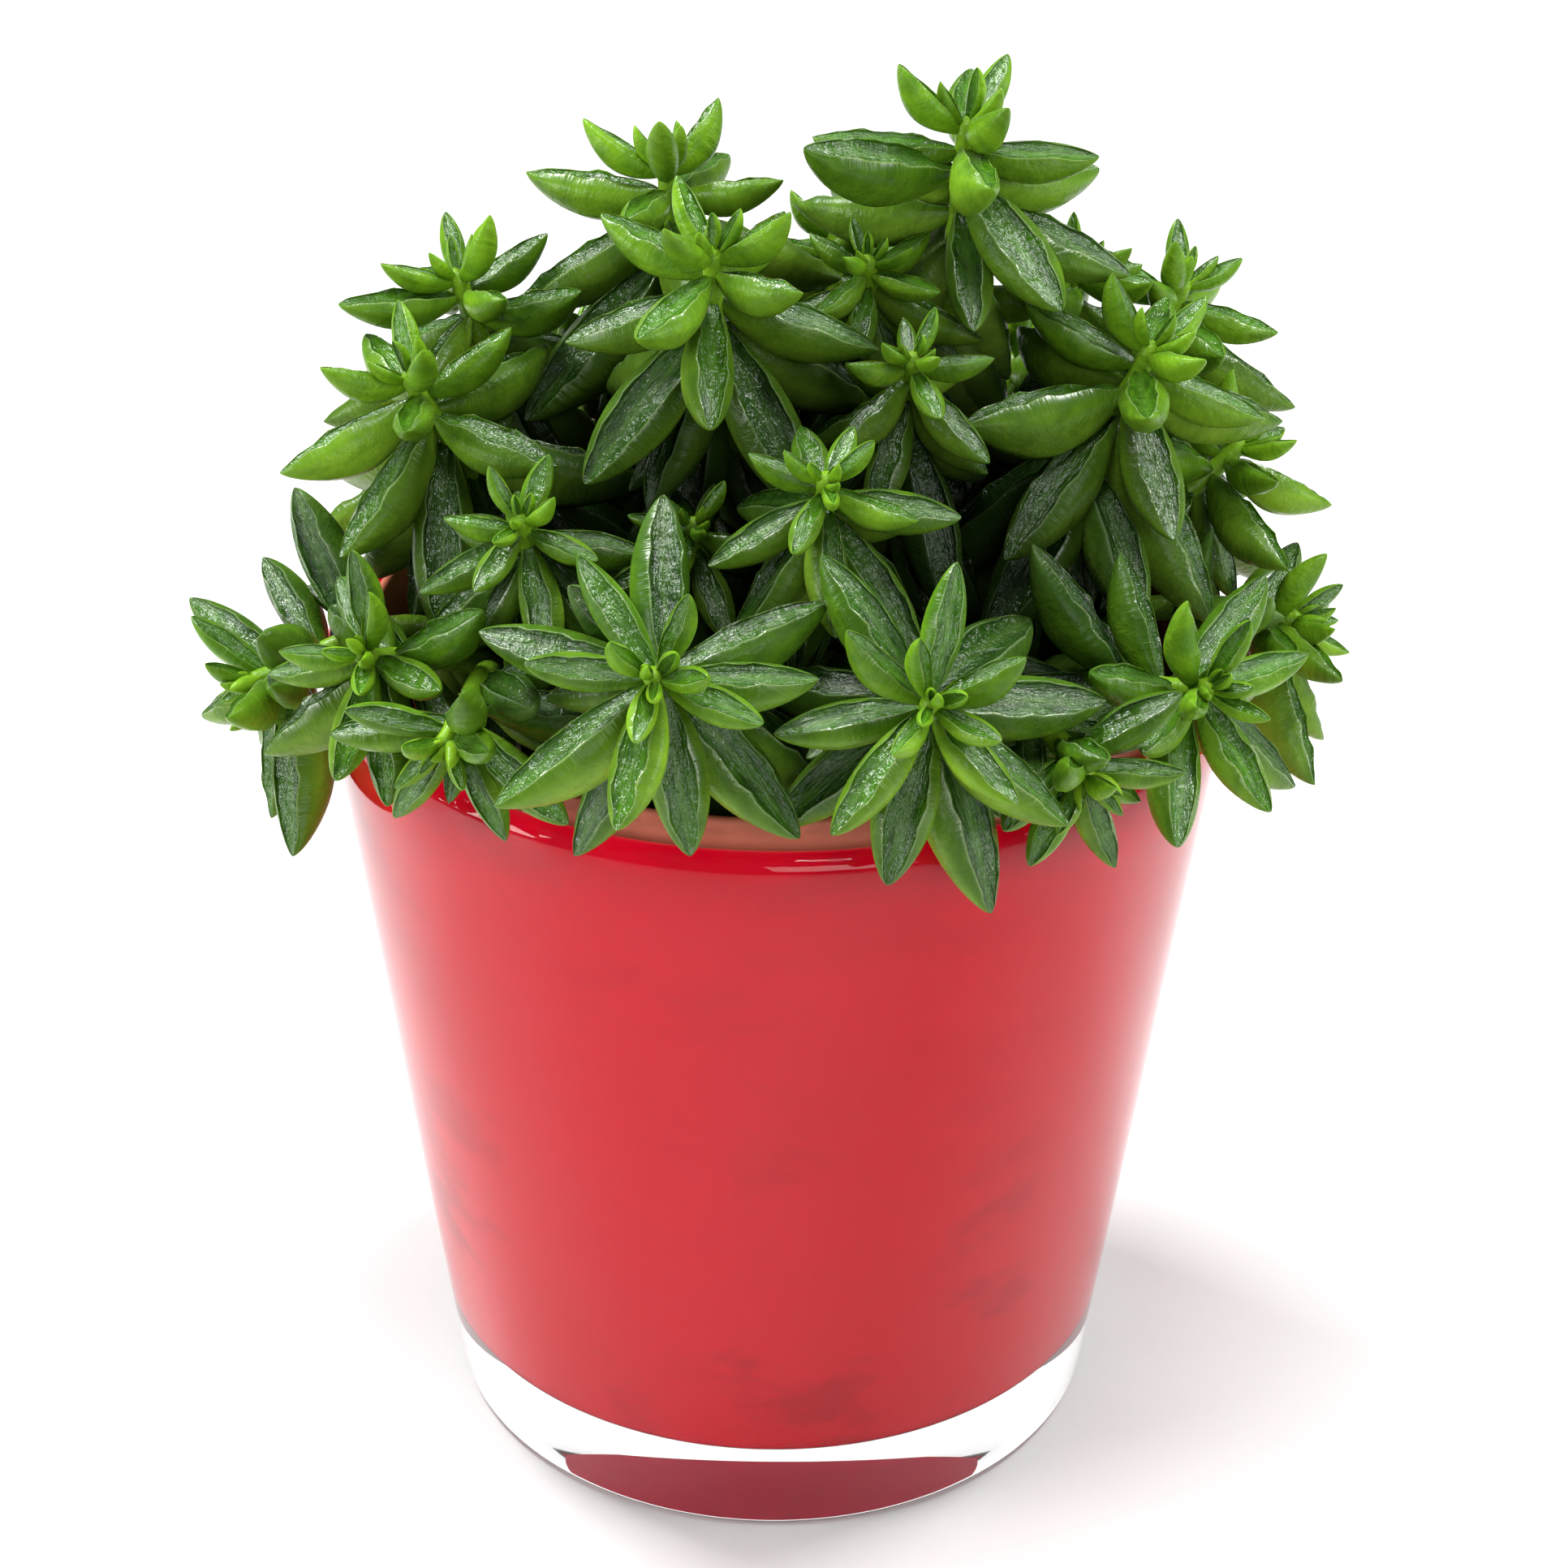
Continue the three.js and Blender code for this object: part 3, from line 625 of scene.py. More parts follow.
class Nodes:
    """A material's nodes, made one by one and joined by name."""

    def __init__(self, name):
        self.material = bpy.data.materials.new(name)
        self.material.use_nodes = True
        self.tree = self.material.node_tree
        self.shader = self.tree.nodes["Principled BSDF"]

    def link(self, source, target):
        self.tree.links.new(source, target)

    def put(self, socket, value):
        if hasattr(value, "links"):
            self.link(value, socket)
        else:
            socket.default_value = value

    def set(self, **values):
        for key, value in values.items():
            self.put(self.shader.inputs[key.replace("_", " ")], value)

    def attribute(self, name, vector=False):
        node = self.tree.nodes.new("ShaderNodeAttribute")
        node.attribute_name = name
        return node.outputs["Vector"] if vector else node.outputs["Fac"]

    def place(self):
        return self.tree.nodes.new("ShaderNodeTexCoord").outputs["Object"]

    def scaled(self, vector, scale):
        node = self.tree.nodes.new("ShaderNodeMapping")
        self.link(vector, node.inputs["Vector"])
        node.inputs["Scale"].default_value = scale
        return node.outputs["Vector"]

    def noise(self, vector, scale, detail, rough):
        node = self.tree.nodes.new("ShaderNodeTexNoise")
        self.link(vector, node.inputs["Vector"])
        node.inputs["Scale"].default_value = scale
        node.inputs["Detail"].default_value = detail
        node.inputs["Roughness"].default_value = rough
        return node.outputs["Fac"]

    def cells(self, vector, scale):
        node = self.tree.nodes.new("ShaderNodeTexVoronoi")
        self.link(vector, node.inputs["Vector"])
        node.inputs["Scale"].default_value = scale
        return node.outputs["Distance"]

    def ramp(self, value, low, high, start=0.0, end=1.0, smooth=True):
        node = self.tree.nodes.new("ShaderNodeMapRange")
        node.interpolation_type = "SMOOTHSTEP" if smooth else "LINEAR"
        self.put(node.inputs["Value"], value)
        node.inputs["From Min"].default_value = low
        node.inputs["From Max"].default_value = high
        node.inputs["To Min"].default_value = start
        node.inputs["To Max"].default_value = end
        return node.outputs["Result"]

    def math(self, operation, a, b):
        node = self.tree.nodes.new("ShaderNodeMath")
        node.operation = operation
        self.put(node.inputs[0], a)
        self.put(node.inputs[1], b)
        return node.outputs[0]

    def mix(self, factor, a, b):
        node = self.tree.nodes.new("ShaderNodeMix")
        node.data_type = "RGBA"
        self.put(node.inputs[0], factor)
        self.put(node.inputs[6], a)
        self.put(node.inputs[7], b)
        return node.outputs[2]

    def split(self, vector):
        node = self.tree.nodes.new("ShaderNodeSeparateXYZ")
        self.link(vector, node.inputs[0])
        return node.outputs

    def bump(self, height, depth, strength=1.0, normal=None):
        node = self.tree.nodes.new("ShaderNodeBump")
        node.inputs["Distance"].default_value = depth * MM
        node.inputs["Strength"].default_value = strength
        self.link(height, node.inputs["Height"])
        if normal is not None:
            self.link(normal, node.inputs["Normal"])
        return node.outputs["Normal"]


def rgb(red, green, blue):
    """A colour given in screen values from 0 to 255."""
    def linear(c):
        c = c / 255
        return c / 12.92 if c <= 0.04045 else ((c + 0.055) / 1.055) ** 2.4
    return (linear(red), linear(green), linear(blue), 1.0)


# Materials

def leaf_material():
    n = Nodes("leaf")
    age = n.attribute("age")
    window = n.attribute("window")
    edge = n.attribute("edge")
    reach = n.attribute("reach")
    tone = n.attribute("tone")
    grain = n.attribute("grain", vector=True)
    streaks = n.noise(n.scaled(grain, (0.25, 1.1, 1)), 1.0, 4, 0.6)
    clouds = n.noise(n.scaled(grain, (0.3, 0.3, 1)), 1.0, 3, 0.5)
    dots = n.cells(grain, 3.4)
    fine = n.noise(grain, 9.0, 2, 0.5)

    # The flanks, paler where they face down and darker near the margins and the tip
    flank = n.mix(age, rgb(104, 150, 18), rgb(58, 102, 12))
    flank = n.mix(n.ramp(clouds, 0.3, 0.75), flank, n.mix(age, rgb(72, 118, 14), rgb(38, 76, 11)))
    pale = n.math("MULTIPLY", n.attribute("pale"), n.ramp(clouds, 0.2, 0.8, 1.0, 0.6))
    flank = n.mix(pale, flank, n.mix(age, rgb(138, 172, 42), rgb(128, 158, 60)))
    near_margin = n.ramp(n.attribute("level"), 0.0, 0.45, 0.62, 0.0)
    towards_tip = n.ramp(reach, 0.4, 1.0, 0.0, 0.4)
    shaded = n.math("MAXIMUM", near_margin, towards_tip)
    flank = n.mix(n.math("MULTIPLY", shaded, n.ramp(age, 0.0, 0.6, 0.3, 1.0)), flank, rgb(26, 56, 9))
    flank = n.mix(n.ramp(dots, 0.05, 0.3, 0.16, 0.0), flank, rgb(124, 158, 66))

    # The window, with a faint pale middle line that is a painted highlight along its crease
    face = n.mix(n.ramp(age, 0.1, 1.0), rgb(62, 108, 12), rgb(32, 70, 11))
    dark = n.mix(n.ramp(age, 0.1, 1.0), rgb(40, 80, 8), rgb(14, 38, 6))
    face = n.mix(n.ramp(streaks, 0.35, 0.7), face, dark)
    colour = n.mix(window, flank, face)
    middle = n.attribute("middle")
    colour = n.mix(n.math("MULTIPLY", middle, 0.12), colour, rgb(130, 170, 80))

    # Painted reflection of the pale surroundings greys the tips of old leaves, the pale rims are the
    # margins' own colour with a painted silvery highlight, and painted shade darkens the inside of the bush
    painted_tip_reflection = n.math("MULTIPLY", n.ramp(reach, 0.6, 1.0), n.ramp(age, 0.6, 1.0, 0.0, 0.45))
    colour = n.mix(painted_tip_reflection, colour, rgb(98, 128, 66))
    # The rims' pale silver-green is partly the margins' own colour and partly a painted highlight.
    rim = n.math("MULTIPLY", n.ramp(edge, 0.8, 1.0), n.ramp(fine, 0.3, 0.6, 0.15, 0.6))
    colour = n.mix(rim, colour, n.mix(age, rgb(132, 158, 84), rgb(128, 148, 112)))
    # Painted shade darkens leaves and stems towards near black the further inside the bush they lie.
    painted_shade = n.attribute("painted_shade")
    colour = n.mix(n.math("MULTIPLY", painted_shade, 0.92), colour, rgb(9, 22, 5))
    warm = n.ramp(tone, 0.0, 1.0, 0.82, 1.14, smooth=False)
    dim = n.tree.nodes.new("ShaderNodeHueSaturation")
    n.link(colour, dim.inputs["Color"])
    n.link(warm, dim.inputs["Value"])
    n.set(Base_Color=dim.outputs["Color"])

    # The window is wet and wrinkled, the flanks are satin and pored.
    shine = n.ramp(streaks, 0.35, 0.75, 0.05, 0.15)
    satin = n.ramp(fine, 0.3, 0.7, 0.24, 0.36)
    blend = n.tree.nodes.new("ShaderNodeMix")
    n.link(window, blend.inputs[0])
    n.link(satin, blend.inputs[2])
    n.link(shine, blend.inputs[3])
    n.set(Roughness=blend.outputs[0])
    wrinkles = n.bump(n.math("MULTIPLY", streaks, window), 0.9)
    pits = n.math("MULTIPLY", n.ramp(dots, 0.0, 0.4), n.math("SUBTRACT", 1.0, window))
    pores = n.bump(pits, 0.03, 0.8, wrinkles)
    crimp = n.bump(n.noise(n.scaled(grain, (1.1, 0.7, 1)), 1.0, 2, 0.5), 0.22, 0.9, pores)
    n.set(Normal=crimp, IOR=1.4, Subsurface_Weight=0.15, Subsurface_Scale=0.0012)
    n.shader.inputs["Subsurface Radius"].default_value = (0.9, 1.0, 0.25)
    # The painted shade inside the bush also dulls the coat and the gloss.
    open_air = n.ramp(painted_shade, 0.0, 1.0, 1.0, 0.35)
    wet = n.math("MULTIPLY", n.math("MAXIMUM", window, n.ramp(edge, 0.5, 1.0)), 0.52)
    n.set(Coat_Weight=n.math("MULTIPLY", wet, open_air), Coat_Roughness=0.06)
    gloss = n.ramp(window, 0.0, 1.0, 0.24, 0.42)
    n.set(Coat_Normal=crimp, Specular_IOR_Level=n.math("MULTIPLY", gloss, open_air))
    return n.material


def clear_glass_material():
    n = Nodes("clear_glass")
    n.set(Roughness=0.0, IOR=1.5, Transmission_Weight=1.0, Specular_Tint=(0.55, 0.55, 0.55, 1.0))
    cloud = n.noise(n.place(), 30, 2, 0.5)
    n.set(Base_Color=n.mix(cloud, rgb(250, 253, 252), rgb(246, 251, 250)))
    return n.material


def red_glass_material():
    n = Nodes("red_glass")
    place = n.place()
    soft = n.noise(n.scaled(place, (16, 16, 10)), 1.0, 3, 0.5)
    colour = n.mix(n.ramp(soft, 0.3, 0.75), rgb(228, 5, 40), rgb(214, 3, 31))
    height = n.split(place)[2]

    # Dusky smears, most of them low on the wall, and small specks
    low = n.ramp(height, 0.035, 0.085, 1.0, 0.3)
    smears = n.noise(n.scaled(place, (32, 32, 62)), 1.0, 5, 0.66)
    colour = n.mix(n.math("MULTIPLY", n.ramp(smears, 0.5, 0.66, 0.0, 0.4), low), colour, rgb(150, 4, 25))
    specks = n.noise(n.scaled(place, (150, 150, 190)), 1.0, 3, 0.6)
    colour = n.mix(n.ramp(specks, 0.72, 0.8, 0.0, 0.4), colour, rgb(110, 6, 18))

    # The underside of the layer's floor, seen through the clear foot, is painted paler: painted light that
    # stands in for the light the clear foot gathers onto it.
    colour = n.mix(n.ramp(height, 0.0141, 0.0144, 1.0, 0.0), colour, rgb(253, 70, 98))
    n.set(Base_Color=colour, Roughness=n.ramp(soft, 0.2, 0.8, 0.4, 0.5), Specular_IOR_Level=0.0)
    return n.material


def terracotta_material():
    n = Nodes("terracotta_plastic")
    place = n.place()
    parts = n.split(place)
    # The collar is darker down towards the soil: painted shade in the corner between soil and pot.
    low = n.ramp(parts[2], 0.1125, 0.1255)
    speck = n.noise(place, 420, 4, 0.6)
    dust = n.noise(n.scaled(place, (70, 70, 220)), 1.0, 4, 0.65)
    colour = n.mix(low, rgb(140, 58, 42), rgb(184, 100, 76))
    colour = n.mix(n.ramp(speck, 0.35, 0.7, 0.0, 0.3), colour, rgb(156, 84, 62))
    colour = n.mix(n.ramp(dust, 0.55, 0.8, 0.0, 0.45), colour, rgb(92, 50, 38))
    n.set(Base_Color=colour, Roughness=n.ramp(speck, 0.3, 0.7, 0.42, 0.6), Specular_IOR_Level=0.4)
    n.set(Normal=n.bump(speck, 0.05, 0.6))
    return n.material


def soil_material():
    n = Nodes("potting_soil")
    place = n.place()
    lump = n.noise(place, 260, 6, 0.7)
    fleck = n.cells(place, 700)
    colour = n.mix(n.ramp(lump, 0.35, 0.7), rgb(20, 14, 11), rgb(56, 40, 30))
    colour = n.mix(n.ramp(fleck, 0.0, 0.28, 0.35, 0.0), colour, rgb(88, 66, 48))
    n.set(Base_Color=colour, Roughness=n.ramp(lump, 0.3, 0.7, 0.75, 1.0), Specular_IOR_Level=0.3)
    n.set(Normal=n.bump(n.noise(place, 900, 5, 0.7), 0.6, 0.9))
    return n.material


LEAF = leaf_material()
CLEAR_GLASS = clear_glass_material()
RED_GLASS = red_glass_material()
TERRACOTTA = terracotta_material()
SOIL = soil_material()


# Pots and soil

def glass_inner(z):
    """The radius of the glass wall's inner face at a height."""
    low = FLOOR_Z + CORNER_RADIUS
    top = SHOULDER_RADIUS - LIP_WIDTH
    return FLOOR_RADIUS + (top - FLOOR_RADIUS) * (z - low) / (SHOULDER_Z - low)


def hollow(inset, top_z):
    """The hollow of the glass pot, from the axis up to a height, drawn in by inset."""
    floor = (0.0, FLOOR_Z + inset)
    middle = (FLOOR_RADIUS - CORNER_RADIUS, FLOOR_Z + CORNER_RADIUS)
    corner = arc(middle, CORNER_RADIUS - inset, -90, 0, 10)
    end = (glass_inner(top_z) - inset, top_z)
    return [floor] + along(floor, corner[0], 6) + corner + along(corner[-1], end, 12) + [end]


def lip_outline():
    """The rounded lip from its outer side over the top to its inner side."""
    middle = SHOULDER_RADIUS - LIP_WIDTH / 2 - LIP_INWARD
    points = []
    for i in range(LIP_STEPS + 1):
        a = i / LIP_STEPS * math.pi
        across = math.copysign(abs(math.cos(a)) ** 0.8, math.cos(a))
        points.append((middle + LIP_WIDTH / 2 * across, LIP_START_Z + LIP_RISE * math.sin(a) ** 0.9))
    return points


def add_glass_pot():
    foot = arc((FOOT_RADIUS - FOOT_ROUNDING, FOOT_ROUNDING), FOOT_ROUNDING, -90, -8, 8)
    shoulder = (SHOULDER_RADIUS, WALL_TOP_Z)
    profile = [(0.0, 0.0)] + along((0, 0), foot[0], 5) + foot
    profile += along(foot[-1], shoulder, 14) + [shoulder]
    profile += lip_outline() + hollow(0, WALL_TOP_Z)[::-1]
    points, faces = turned(profile)
    add_object("clear_glass_pot", points, faces, {}, CLEAR_GLASS, "glass_pot")


def add_red_layer():
    fused = hollow(-FUSED, LAYER_TOP_Z)
    film = hollow(FILM, LAYER_TOP_Z)
    wall = [(r, z) for r, z in fused if z > WALL_FUSED_TO]
    corner = [(r, z) for r, z in film if z <= WALL_FUSED_TO and r > FLOOR_FUSED_RADIUS]
    pad = [(0.0, FLOOR_Z - FUSED), (FLOOR_FUSED_RADIUS, FLOOR_Z - FUSED)]
    step = [(FLOOR_FUSED_RADIUS + FILM_EDGE, FLOOR_Z + FILM)]
    inside_wall = hollow(LAYER_INNER, LAYER_TOP_Z)[::-1]
    points, faces = turned(pad + step + corner + wall + inside_wall)
    add_object("red_layer", points, faces, {}, RED_GLASS, "red_inner_layer")


def add_nursery_pot():
    wall = NURSERY_WALL
    floor_top = NURSERY_FLOOR_Z + wall
    foot = (NURSERY_FOOT_RADIUS, NURSERY_FLOOR_Z)
    neck = (NURSERY_NECK_RADIUS, NURSERY_NECK_Z)
    collar = (COLLAR_RADIUS, COLLAR_Z)
    rim = arc((COLLAR_TOP_RADIUS - wall / 2, COLLAR_TOP - wall / 2), wall / 2, 0, 180, 8)
    profile = [(0.0, NURSERY_FLOOR_Z), foot] + along(foot, neck, 8) + [neck, collar]
    profile += along(collar, rim[0], 6) + rim
    low = (COLLAR_RADIUS - wall, COLLAR_Z + wall / 2)
    profile += along(rim[-1], low, 6) + [low, (NURSERY_NECK_RADIUS - wall, NURSERY_NECK_Z + wall / 2)]
    profile += [(NURSERY_FOOT_RADIUS - wall, floor_top), (0.0, floor_top)]
    points, faces = turned(profile)
    pot = add_object("nursery_shell", points, faces, {}, TERRACOTTA, "nursery_pot")
    drill_drains(pot, 4 * wall)


def drill_drains(pot, depth):
    """Cuts a ring of drain holes through the nursery pot's floor."""
    drills = []
    for i in range(DRAIN_COUNT):
        a = 2 * math.pi * i / DRAIN_COUNT
        place = Vector((DRAIN_CIRCLE * math.cos(a), DRAIN_CIRCLE * math.sin(a), NURSERY_FLOOR_Z)) * MM
        bpy.ops.mesh.primitive_cylinder_add(vertices=32, radius=DRAIN_RADIUS * MM, depth=depth * MM,
                                            location=place)
        drills.append(bpy.context.object)
    for drill in drills:
        cut = pot.modifiers.new("drain", "BOOLEAN")
        cut.operation = "DIFFERENCE"
        cut.object = drill
    evaluated = pot.evaluated_get(bpy.context.evaluated_depsgraph_get())
    mesh = bpy.data.meshes.new_from_object(evaluated)
    pot.modifiers.clear()
    pot.data = mesh
    for drill in drills:
        bpy.data.objects.remove(drill)


def soil_surface(draw):
    """The height of the soil at a place: level in the middle, falling to the edge, with low waves."""
    edge = COLLAR_RADIUS - SOIL_INSET
    waves = [(draw() * 0.5 + 0.12, draw() * 0.5 + 0.12, draw() * PHASE, draw() * PHASE)
             for _ in range(SOIL_WAVES)]

    def height(x, y):
        beyond = max(0, math.hypot(x, y) / edge - SOIL_LEVEL_SHARE) / (1 - SOIL_LEVEL_SHARE)
        level = SOIL_TOP - (SOIL_TOP - SOIL_EDGE_Z) * beyond
        wave = sum(math.sin(a * x + p) * math.sin(b * y + q) for a, b, p, q in waves) / SOIL_WAVES
        return level + SOIL_WAVE_HEIGHT * wave - SOIL_SUNK

    return height


def soil_plug(draw, height):
    """The soil's rough top, sides and bottom."""
    edge = COLLAR_RADIUS - SOIL_INSET
    rings = SOIL_RINGS
    sides = SOIL_SIDES
    points = [(0.0, 0.0, SOIL_TOP)]
    for i in range(1, rings + 1):
        r = edge * i / rings
        for j in range(sides):
            a = 2 * math.pi * (j + 0.5 * (i % 2)) / sides
            x = r * math.cos(a)
            y = r * math.sin(a)
            rough = SOIL_ROUGHNESS * (draw() - 0.5) if i < rings else 0
            points.append((x, y, height(x, y) + rough))
    faces = [(0, 1 + j, 1 + (j + 1) % sides) for j in range(sides)]
    faces += grid_faces(rings, sides, first=1, flip=True)
    start = 1 + (rings - 1) * sides
    for r, z in ((NURSERY_NECK_RADIUS, NURSERY_NECK_Z), (NURSERY_FOOT_RADIUS, SOIL_BOTTOM)):
        for j in range(sides):
            a = 2 * math.pi * (j + 0.5 * (rings % 2)) / sides
            points.append(((r - SOIL_INSET) * math.cos(a), (r - SOIL_INSET) * math.sin(a), z))
    faces += grid_faces(3, sides, first=start, flip=True)
    last = len(points) - sides
    points.append((0.0, 0.0, SOIL_BOTTOM))
    faces += [(last + (j + 1) % sides, last + j, len(points) - 1) for j in range(sides)]
    return points, faces


def crumb(draw, height, first):
    """A crumb of peat or bark on the soil: three uneven rings of points, closed at both ends."""
    r = (COLLAR_RADIUS - SOIL_INSET - CRUMB_CLEARANCE) * math.sqrt(draw())
    a = 2 * math.pi * draw()
    x = r * math.cos(a)
    y = r * math.sin(a)
    size = CRUMB_SIZE + CRUMB_SPREAD * draw() ** 3
    centre = np.array([x, y, height(x, y) + size * 0.25])
    turn = draw() * PHASE
    long = 1 + 1.2 * draw() ** 2
    sides = CRUMB_SIDES
    points = []
    for ring, (lift, wide) in enumerate(CRUMB_RINGS):
        for j in range(sides):
            b = turn + 2 * math.pi * (j + 0.5 * ring) / sides
            jitter = 0.75 + 0.5 * draw()
            shape = np.array([wide * long * math.cos(b), wide * math.sin(b), 0.7 * lift])
            points.append(tuple(centre + size * jitter * shape))
    faces = grid_faces(len(CRUMB_RINGS), sides, first=first)
    faces.append(tuple(first + sides - 1 - j for j in range(sides)))
    faces.append(tuple(first + len(points) - sides + j for j in range(sides)))
    return points, faces


def add_soil():
    draw = dice(*SOIL_SEED)
    height = soil_surface(draw)
    points, faces = soil_plug(draw, height)
    for _ in range(CRUMBS):
        more_points, more_faces = crumb(draw, height, len(points))
        points += more_points
        faces += more_faces
    add_object("soil_bed", points, faces, {}, SOIL, "soil")


add_glass_pot()
add_red_layer()
add_nursery_pot()
add_soil()


# Leafy stems

def section(flank, face):
    """Points round a leaf: aside, below as shares of depth and of half width, window, edge, middle."""
    side = []
    for i in range(flank + 1):
        level = (i / (flank + 0.6)) ** 1.25
        out = MARGIN_OUT + (1 - MARGIN_OUT) * math.sin(min(level / FLANK_LEVEL, 1) * math.pi / 2)
        side.append((out * float(flank_share(level)), level, 0.0, 0.0, 1.0 if i == 0 else 0.0, 0.0))
    keel = (0.0, 1.0, 0.0, 0.0, 0.0, 0.0)
    inner = MARGIN_OUT - MARGIN_WIDTH
    lip = (0.0, -MARGIN_RISE, 0.35, 1.0, 0.0)
    window = []
    for i in range(face + 1):
        x = inner * WINDOW_OUT * (2 * i / face - 1)
        sunk = WINDOW_SUNK * (1 - (abs(x) / inner) ** 2)
        window.append((x, 0.0, WINDOW_STEP + sunk, 1.0, 0.0, 1.0 if abs(x) < 1e-6 else 0.0))
    other_side = [(-x, *rest) for x, *rest in side[::-1]]
    return np.array(side + [keel] + other_side + [(-inner, *lip)] + window + [(inner, *lip)])


FINE_SECTION = section(5, 4)
INNER_SECTION = section(3, 2)


def shade(points):
    """How far inside the bush points lie, from 0 outside to 1 inside, which is how much painted shade they
    get.
    """
    share = np.sqrt((((points - np.array(DOME_MIDDLE)) / np.array(DOME_REACH)) ** 2).sum(-1))
    return np.clip((OUTSIDE - share) / (OUTSIDE - INSIDE), 0, 1)


def margin_waves(draw, distance, x):
    """Two sets of waves along a leaf's margins, out and down, which differ from one margin to the other."""
    out = np.zeros_like(distance)
    down = np.zeros_like(distance)
    drawn = [(length * (0.8 + 0.4 * draw()), share, draw() * PHASE, draw() * PHASE)
             for length, share in WAVES]
    for length, share, p, q in drawn:
        angle = 2 * np.pi * distance / length
        out = out + share * np.sin(angle + p + WAVE_OUT_SHIFT * np.sign(x))
        down = down + share * np.sin(angle + q + WAVE_DOWN_SHIFT * np.sign(x))
    return WAVE_HEIGHT * out, WAVE_HEIGHT * down


def leaf_mesh(leaf, stations, profile):
    """Grid of points along and round a leaf, and what the material reads at each."""
    draw = dice(*leaf["seed"])
    tone = draw()
    start, end = LEAF_ENDS
    s = (0.5 - 0.5 * np.cos(np.pi * np.linspace(start, end, stations)))[:, None]
    x, yd, yw, window, edge, middle = profile.T[:, None, :]
    w = leaf["half"] * width_share(s)
    d = leaf["depth"] * depth_share(s)
    wave_out, wave_down = margin_waves(draw, s * leaf["length"], x)
    sway = SWAY * leaf["length"] * (draw() - 0.5)
    hold = np.sin(np.pi * s) ** 0.5 * min(1.0, leaf["length"] / WAVED_FROM)
    aside = w * x + hold * edge * np.sign(x) * wave_out + sway * np.sin(np.pi * s)
    below = d * yd + w * yw + hold * (edge + 0.35 * (np.abs(x) > 0.4) * window) * wave_down
    shape = aside.shape

    def spread(values):
        return np.broadcast_to(values, shape).ravel()

    points = leaf_points(leaf, np.broadcast_to(s, shape), aside, below).reshape(-1, 3)
    facing_down = 0.25 + 0.75 * np.clip(0.4 - leaf["forward"][2], 0, 1)
    grain = np.stack([spread(s * leaf["length"]), spread(w * x + d * yd * 1.1),
                      spread(tone * GRAIN_BY_LEAF + leaf["seed"][0] * GRAIN_BY_STEM)], -1)
    fields = dict(
        age=spread(leaf["age"]),
        tone=spread(tone),
        reach=spread(s),
        level=spread(yd),
        pale=spread((0.3 + 0.7 * yd) * facing_down * (1 - window)),
        # Painted shade, from how far inside the bush each point lies
        painted_shade=np.maximum(shade(points), INNER_SHADE if leaf["whorl"] >= INNER_FROM else 0.0),
        window=spread(window),
        edge=spread(edge),
        middle=spread(middle),
        grain=grain,
    )
    return points, fields


def leaf_faces(first, stations, columns):
    """The faces of a leaf's grid, with both ends closed."""
    faces = grid_faces(stations, columns, first=first, flip=True)
    faces.append(tuple(first + j for j in range(columns)))
    end = first + (stations - 1) * columns
    faces.append(tuple(end + columns - 1 - j for j in range(columns)))
    return faces


def stem_mesh(stem):
    """A round stem from its foot in the soil to its tip, and what the material reads at each point."""
    reach = [0.0] + [i / (STEM_RINGS - 1) for i in range(STEM_RINGS)]
    places = [(stem["base"] - UP * (ROOT_DEPTH - BEND_BELOW_SOIL), UP)]
    places += [stem_at(stem, t) for t in reach[1:]]
    mark = stem["index"] * GRAIN_BY_STEM
    points = []
    grain = []
    for (place, heading), t in zip(places, reach):
        side = square_to(SIDEWAYS, heading)
        other = np.cross(heading, side)
        knots = 1 + KNOT_HEIGHT * math.sin(t * stem["span"] * KNOT_RATE)
        radius = (STEM_RADIUS + (TIP_RADIUS - STEM_RADIUS) * t * t) * knots
        for j in range(STEM_SIDES):
            a = 2 * math.pi * j / STEM_SIDES
            points.append(place + (side * math.cos(a) + other * math.sin(a)) * radius)
            grain.append((t * stem["span"], a * radius, mark))
    place, heading = places[-1]
    points.append(place + heading * TIP_DOME)
    grain.append((stem["span"], 0, mark))
    count = len(points)
    faces = grid_faces(STEM_RINGS + 1, STEM_SIDES)
    faces.append(tuple(STEM_SIDES - 1 - j for j in range(STEM_SIDES)))
    top = count - 1 - STEM_SIDES
    faces += [(top + j, top + (j + 1) % STEM_SIDES, count - 1) for j in range(STEM_SIDES)]
    reaches = np.append(np.repeat(reach, STEM_SIDES), 1.0)
    fields = dict(
        age=0.55 - 0.5 * reaches,
        tone=np.full(count, 0.6),
        reach=np.zeros(count),
        level=np.ones(count),
        pale=np.full(count, 0.3),
        # Painted shade, from how far inside the bush each point lies
        painted_shade=shade(np.array(points)),
        window=np.zeros(count),
        edge=np.full(count, 0.12),
        middle=np.zeros(count),
        grain=np.array(grain),
    )
    return np.array(points), fields, faces


def add_leafy_stem(stem):
    """A stem and its leaves as one mesh."""
    points, fields, faces = stem_mesh(stem)
    all_points = [points]
    all_fields = {key: [value] for key, value in fields.items()}
    total = len(points)
    for leaf in stem["leaves"]:
        inner = leaf["whorl"] >= INNER_FROM
        stations = INNER_STATIONS if inner else LEAF_STATIONS
        profile = INNER_SECTION if inner else FINE_SECTION
        points, fields = leaf_mesh(leaf, stations, profile)
        faces += leaf_faces(total, stations, len(profile))
        all_points.append(points)
        for key, value in fields.items():
            all_fields[key].append(value)
        total += len(points)
    joined = {key: np.concatenate(values) for key, values in all_fields.items()}
    add_object("leafy_" + stem["name"], np.concatenate(all_points), faces, joined, LEAF,
               "stem_" + stem["name"])


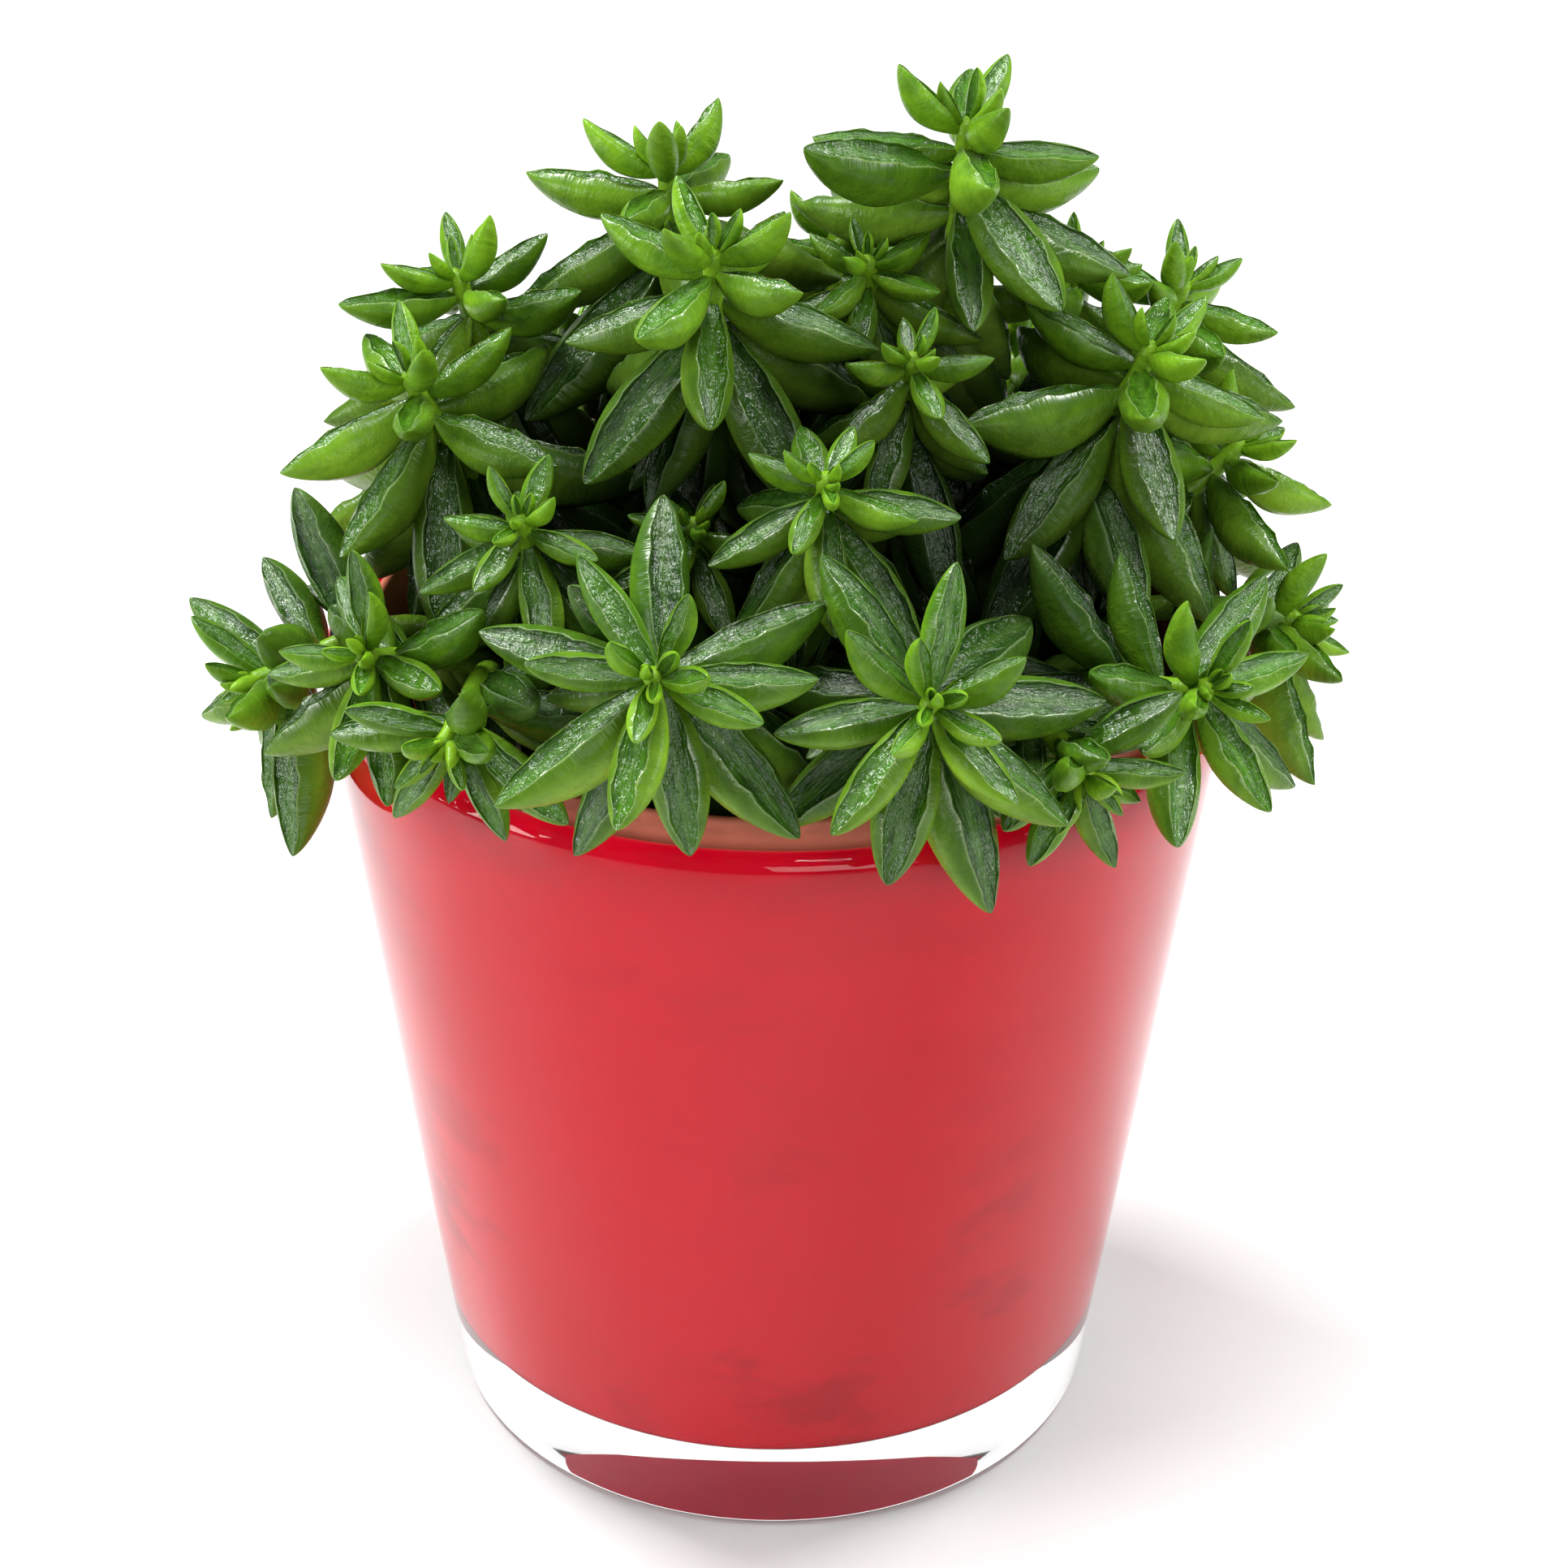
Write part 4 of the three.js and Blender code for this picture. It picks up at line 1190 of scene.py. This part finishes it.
def add_bud_leaves(stem):
    """The smallest leaves, closed round the tip."""
    place, heading = stem_at(stem, 1)
    first = square_to(SIDEWAYS, heading)
    second = np.cross(heading, first)
    for number, (below, length, opening) in enumerate(BUD_LEAVES):
        draw = dice(stem["index"], BUD_SEED, number)
        turn = (stem["turn"] + 20 + number * BUD_TURN + 20 * draw()) * DEGREE
        angle = opening * DEGREE
        outward = first * math.cos(turn) + second * math.sin(turn)
        forward = unit(heading * math.cos(angle) + outward * math.sin(angle))
        up = square_to(heading * math.sin(angle) - outward * math.cos(angle), forward)
        leaf = make_leaf(place - heading * below, forward, up, length * stem["size"], BUD_ARCH, BUD_PLUMP)
        leaf.update(age=0.0, whorl=0, seed=(stem["index"], BUD_SEED, number))
        stem["leaves"].append(leaf)


for stem in stems:
    add_bud_leaves(stem)
    add_leafy_stem(stem)


# Floor and light

# The thin film of air under the foot, which mirrors the red floor of the pot
FLOOR_GAP = 0.1

# In metres
FLOOR_REACH = 3.0
FLOOR_GREY = (0.6, 0.6, 0.6, 1.0)
LIGHT_TARGET = (0, 0, 0.1)
LIGHTS = [
    # name, place, size, watts
    ("window", (-0.62, 0.42, 1.05), (0.42, 0.3), 20),
    ("right", (0.62, 0.3, 1.0), (0.36, 0.24), 10),
    ("above", (0.0, -0.2, 1.3), (0.5, 0.3), 12),
    ("fill", (0.35, -1.2, 0.6), (0.8, 0.6), 7),
    ("left side", (-1.1, -0.4, 0.45), (0.6, 0.5), 12),
    ("right side", (1.1, -0.25, 0.45), (0.6, 0.5), 7),
]
WORLD_STRENGTH = 0.18


def add_stage():
    size = FLOOR_REACH
    corners = [(-size, -size, 0), (size, -size, 0), (size, size, 0), (-size, size, 0)]
    mesh = bpy.data.meshes.new("floor")
    mesh.from_pydata(corners, [], [(0, 1, 2, 3)])
    floor = bpy.data.objects.new("floor", mesh)
    floor.location = (0, 0, -FLOOR_GAP * MM)
    bpy.context.scene.collection.objects.link(floor)
    n = Nodes("floor")
    n.set(Base_Color=FLOOR_GREY, Roughness=0.35)
    mesh.materials.append(n.material)


def add_light(name, place, size, power):
    data = bpy.data.lights.new(name, "AREA")
    data.shape = "RECTANGLE"
    data.size, data.size_y = size
    data.energy = power
    light = bpy.data.objects.new(name, data)
    light.location = place
    light.rotation_euler = (Vector(LIGHT_TARGET) - Vector(place)).to_track_quat("-Z", "Y").to_euler()
    bpy.context.scene.collection.objects.link(light)


add_stage()
for row in LIGHTS:
    add_light(*row)
world = bpy.data.worlds.new("studio")
bpy.context.scene.world = world
world.use_nodes = True
background = world.node_tree.nodes["Background"]
background.inputs["Color"].default_value = (1, 1, 1, 1)
background.inputs["Strength"].default_value = WORLD_STRENGTH
bpy.context.scene.view_settings.view_transform = "Standard"
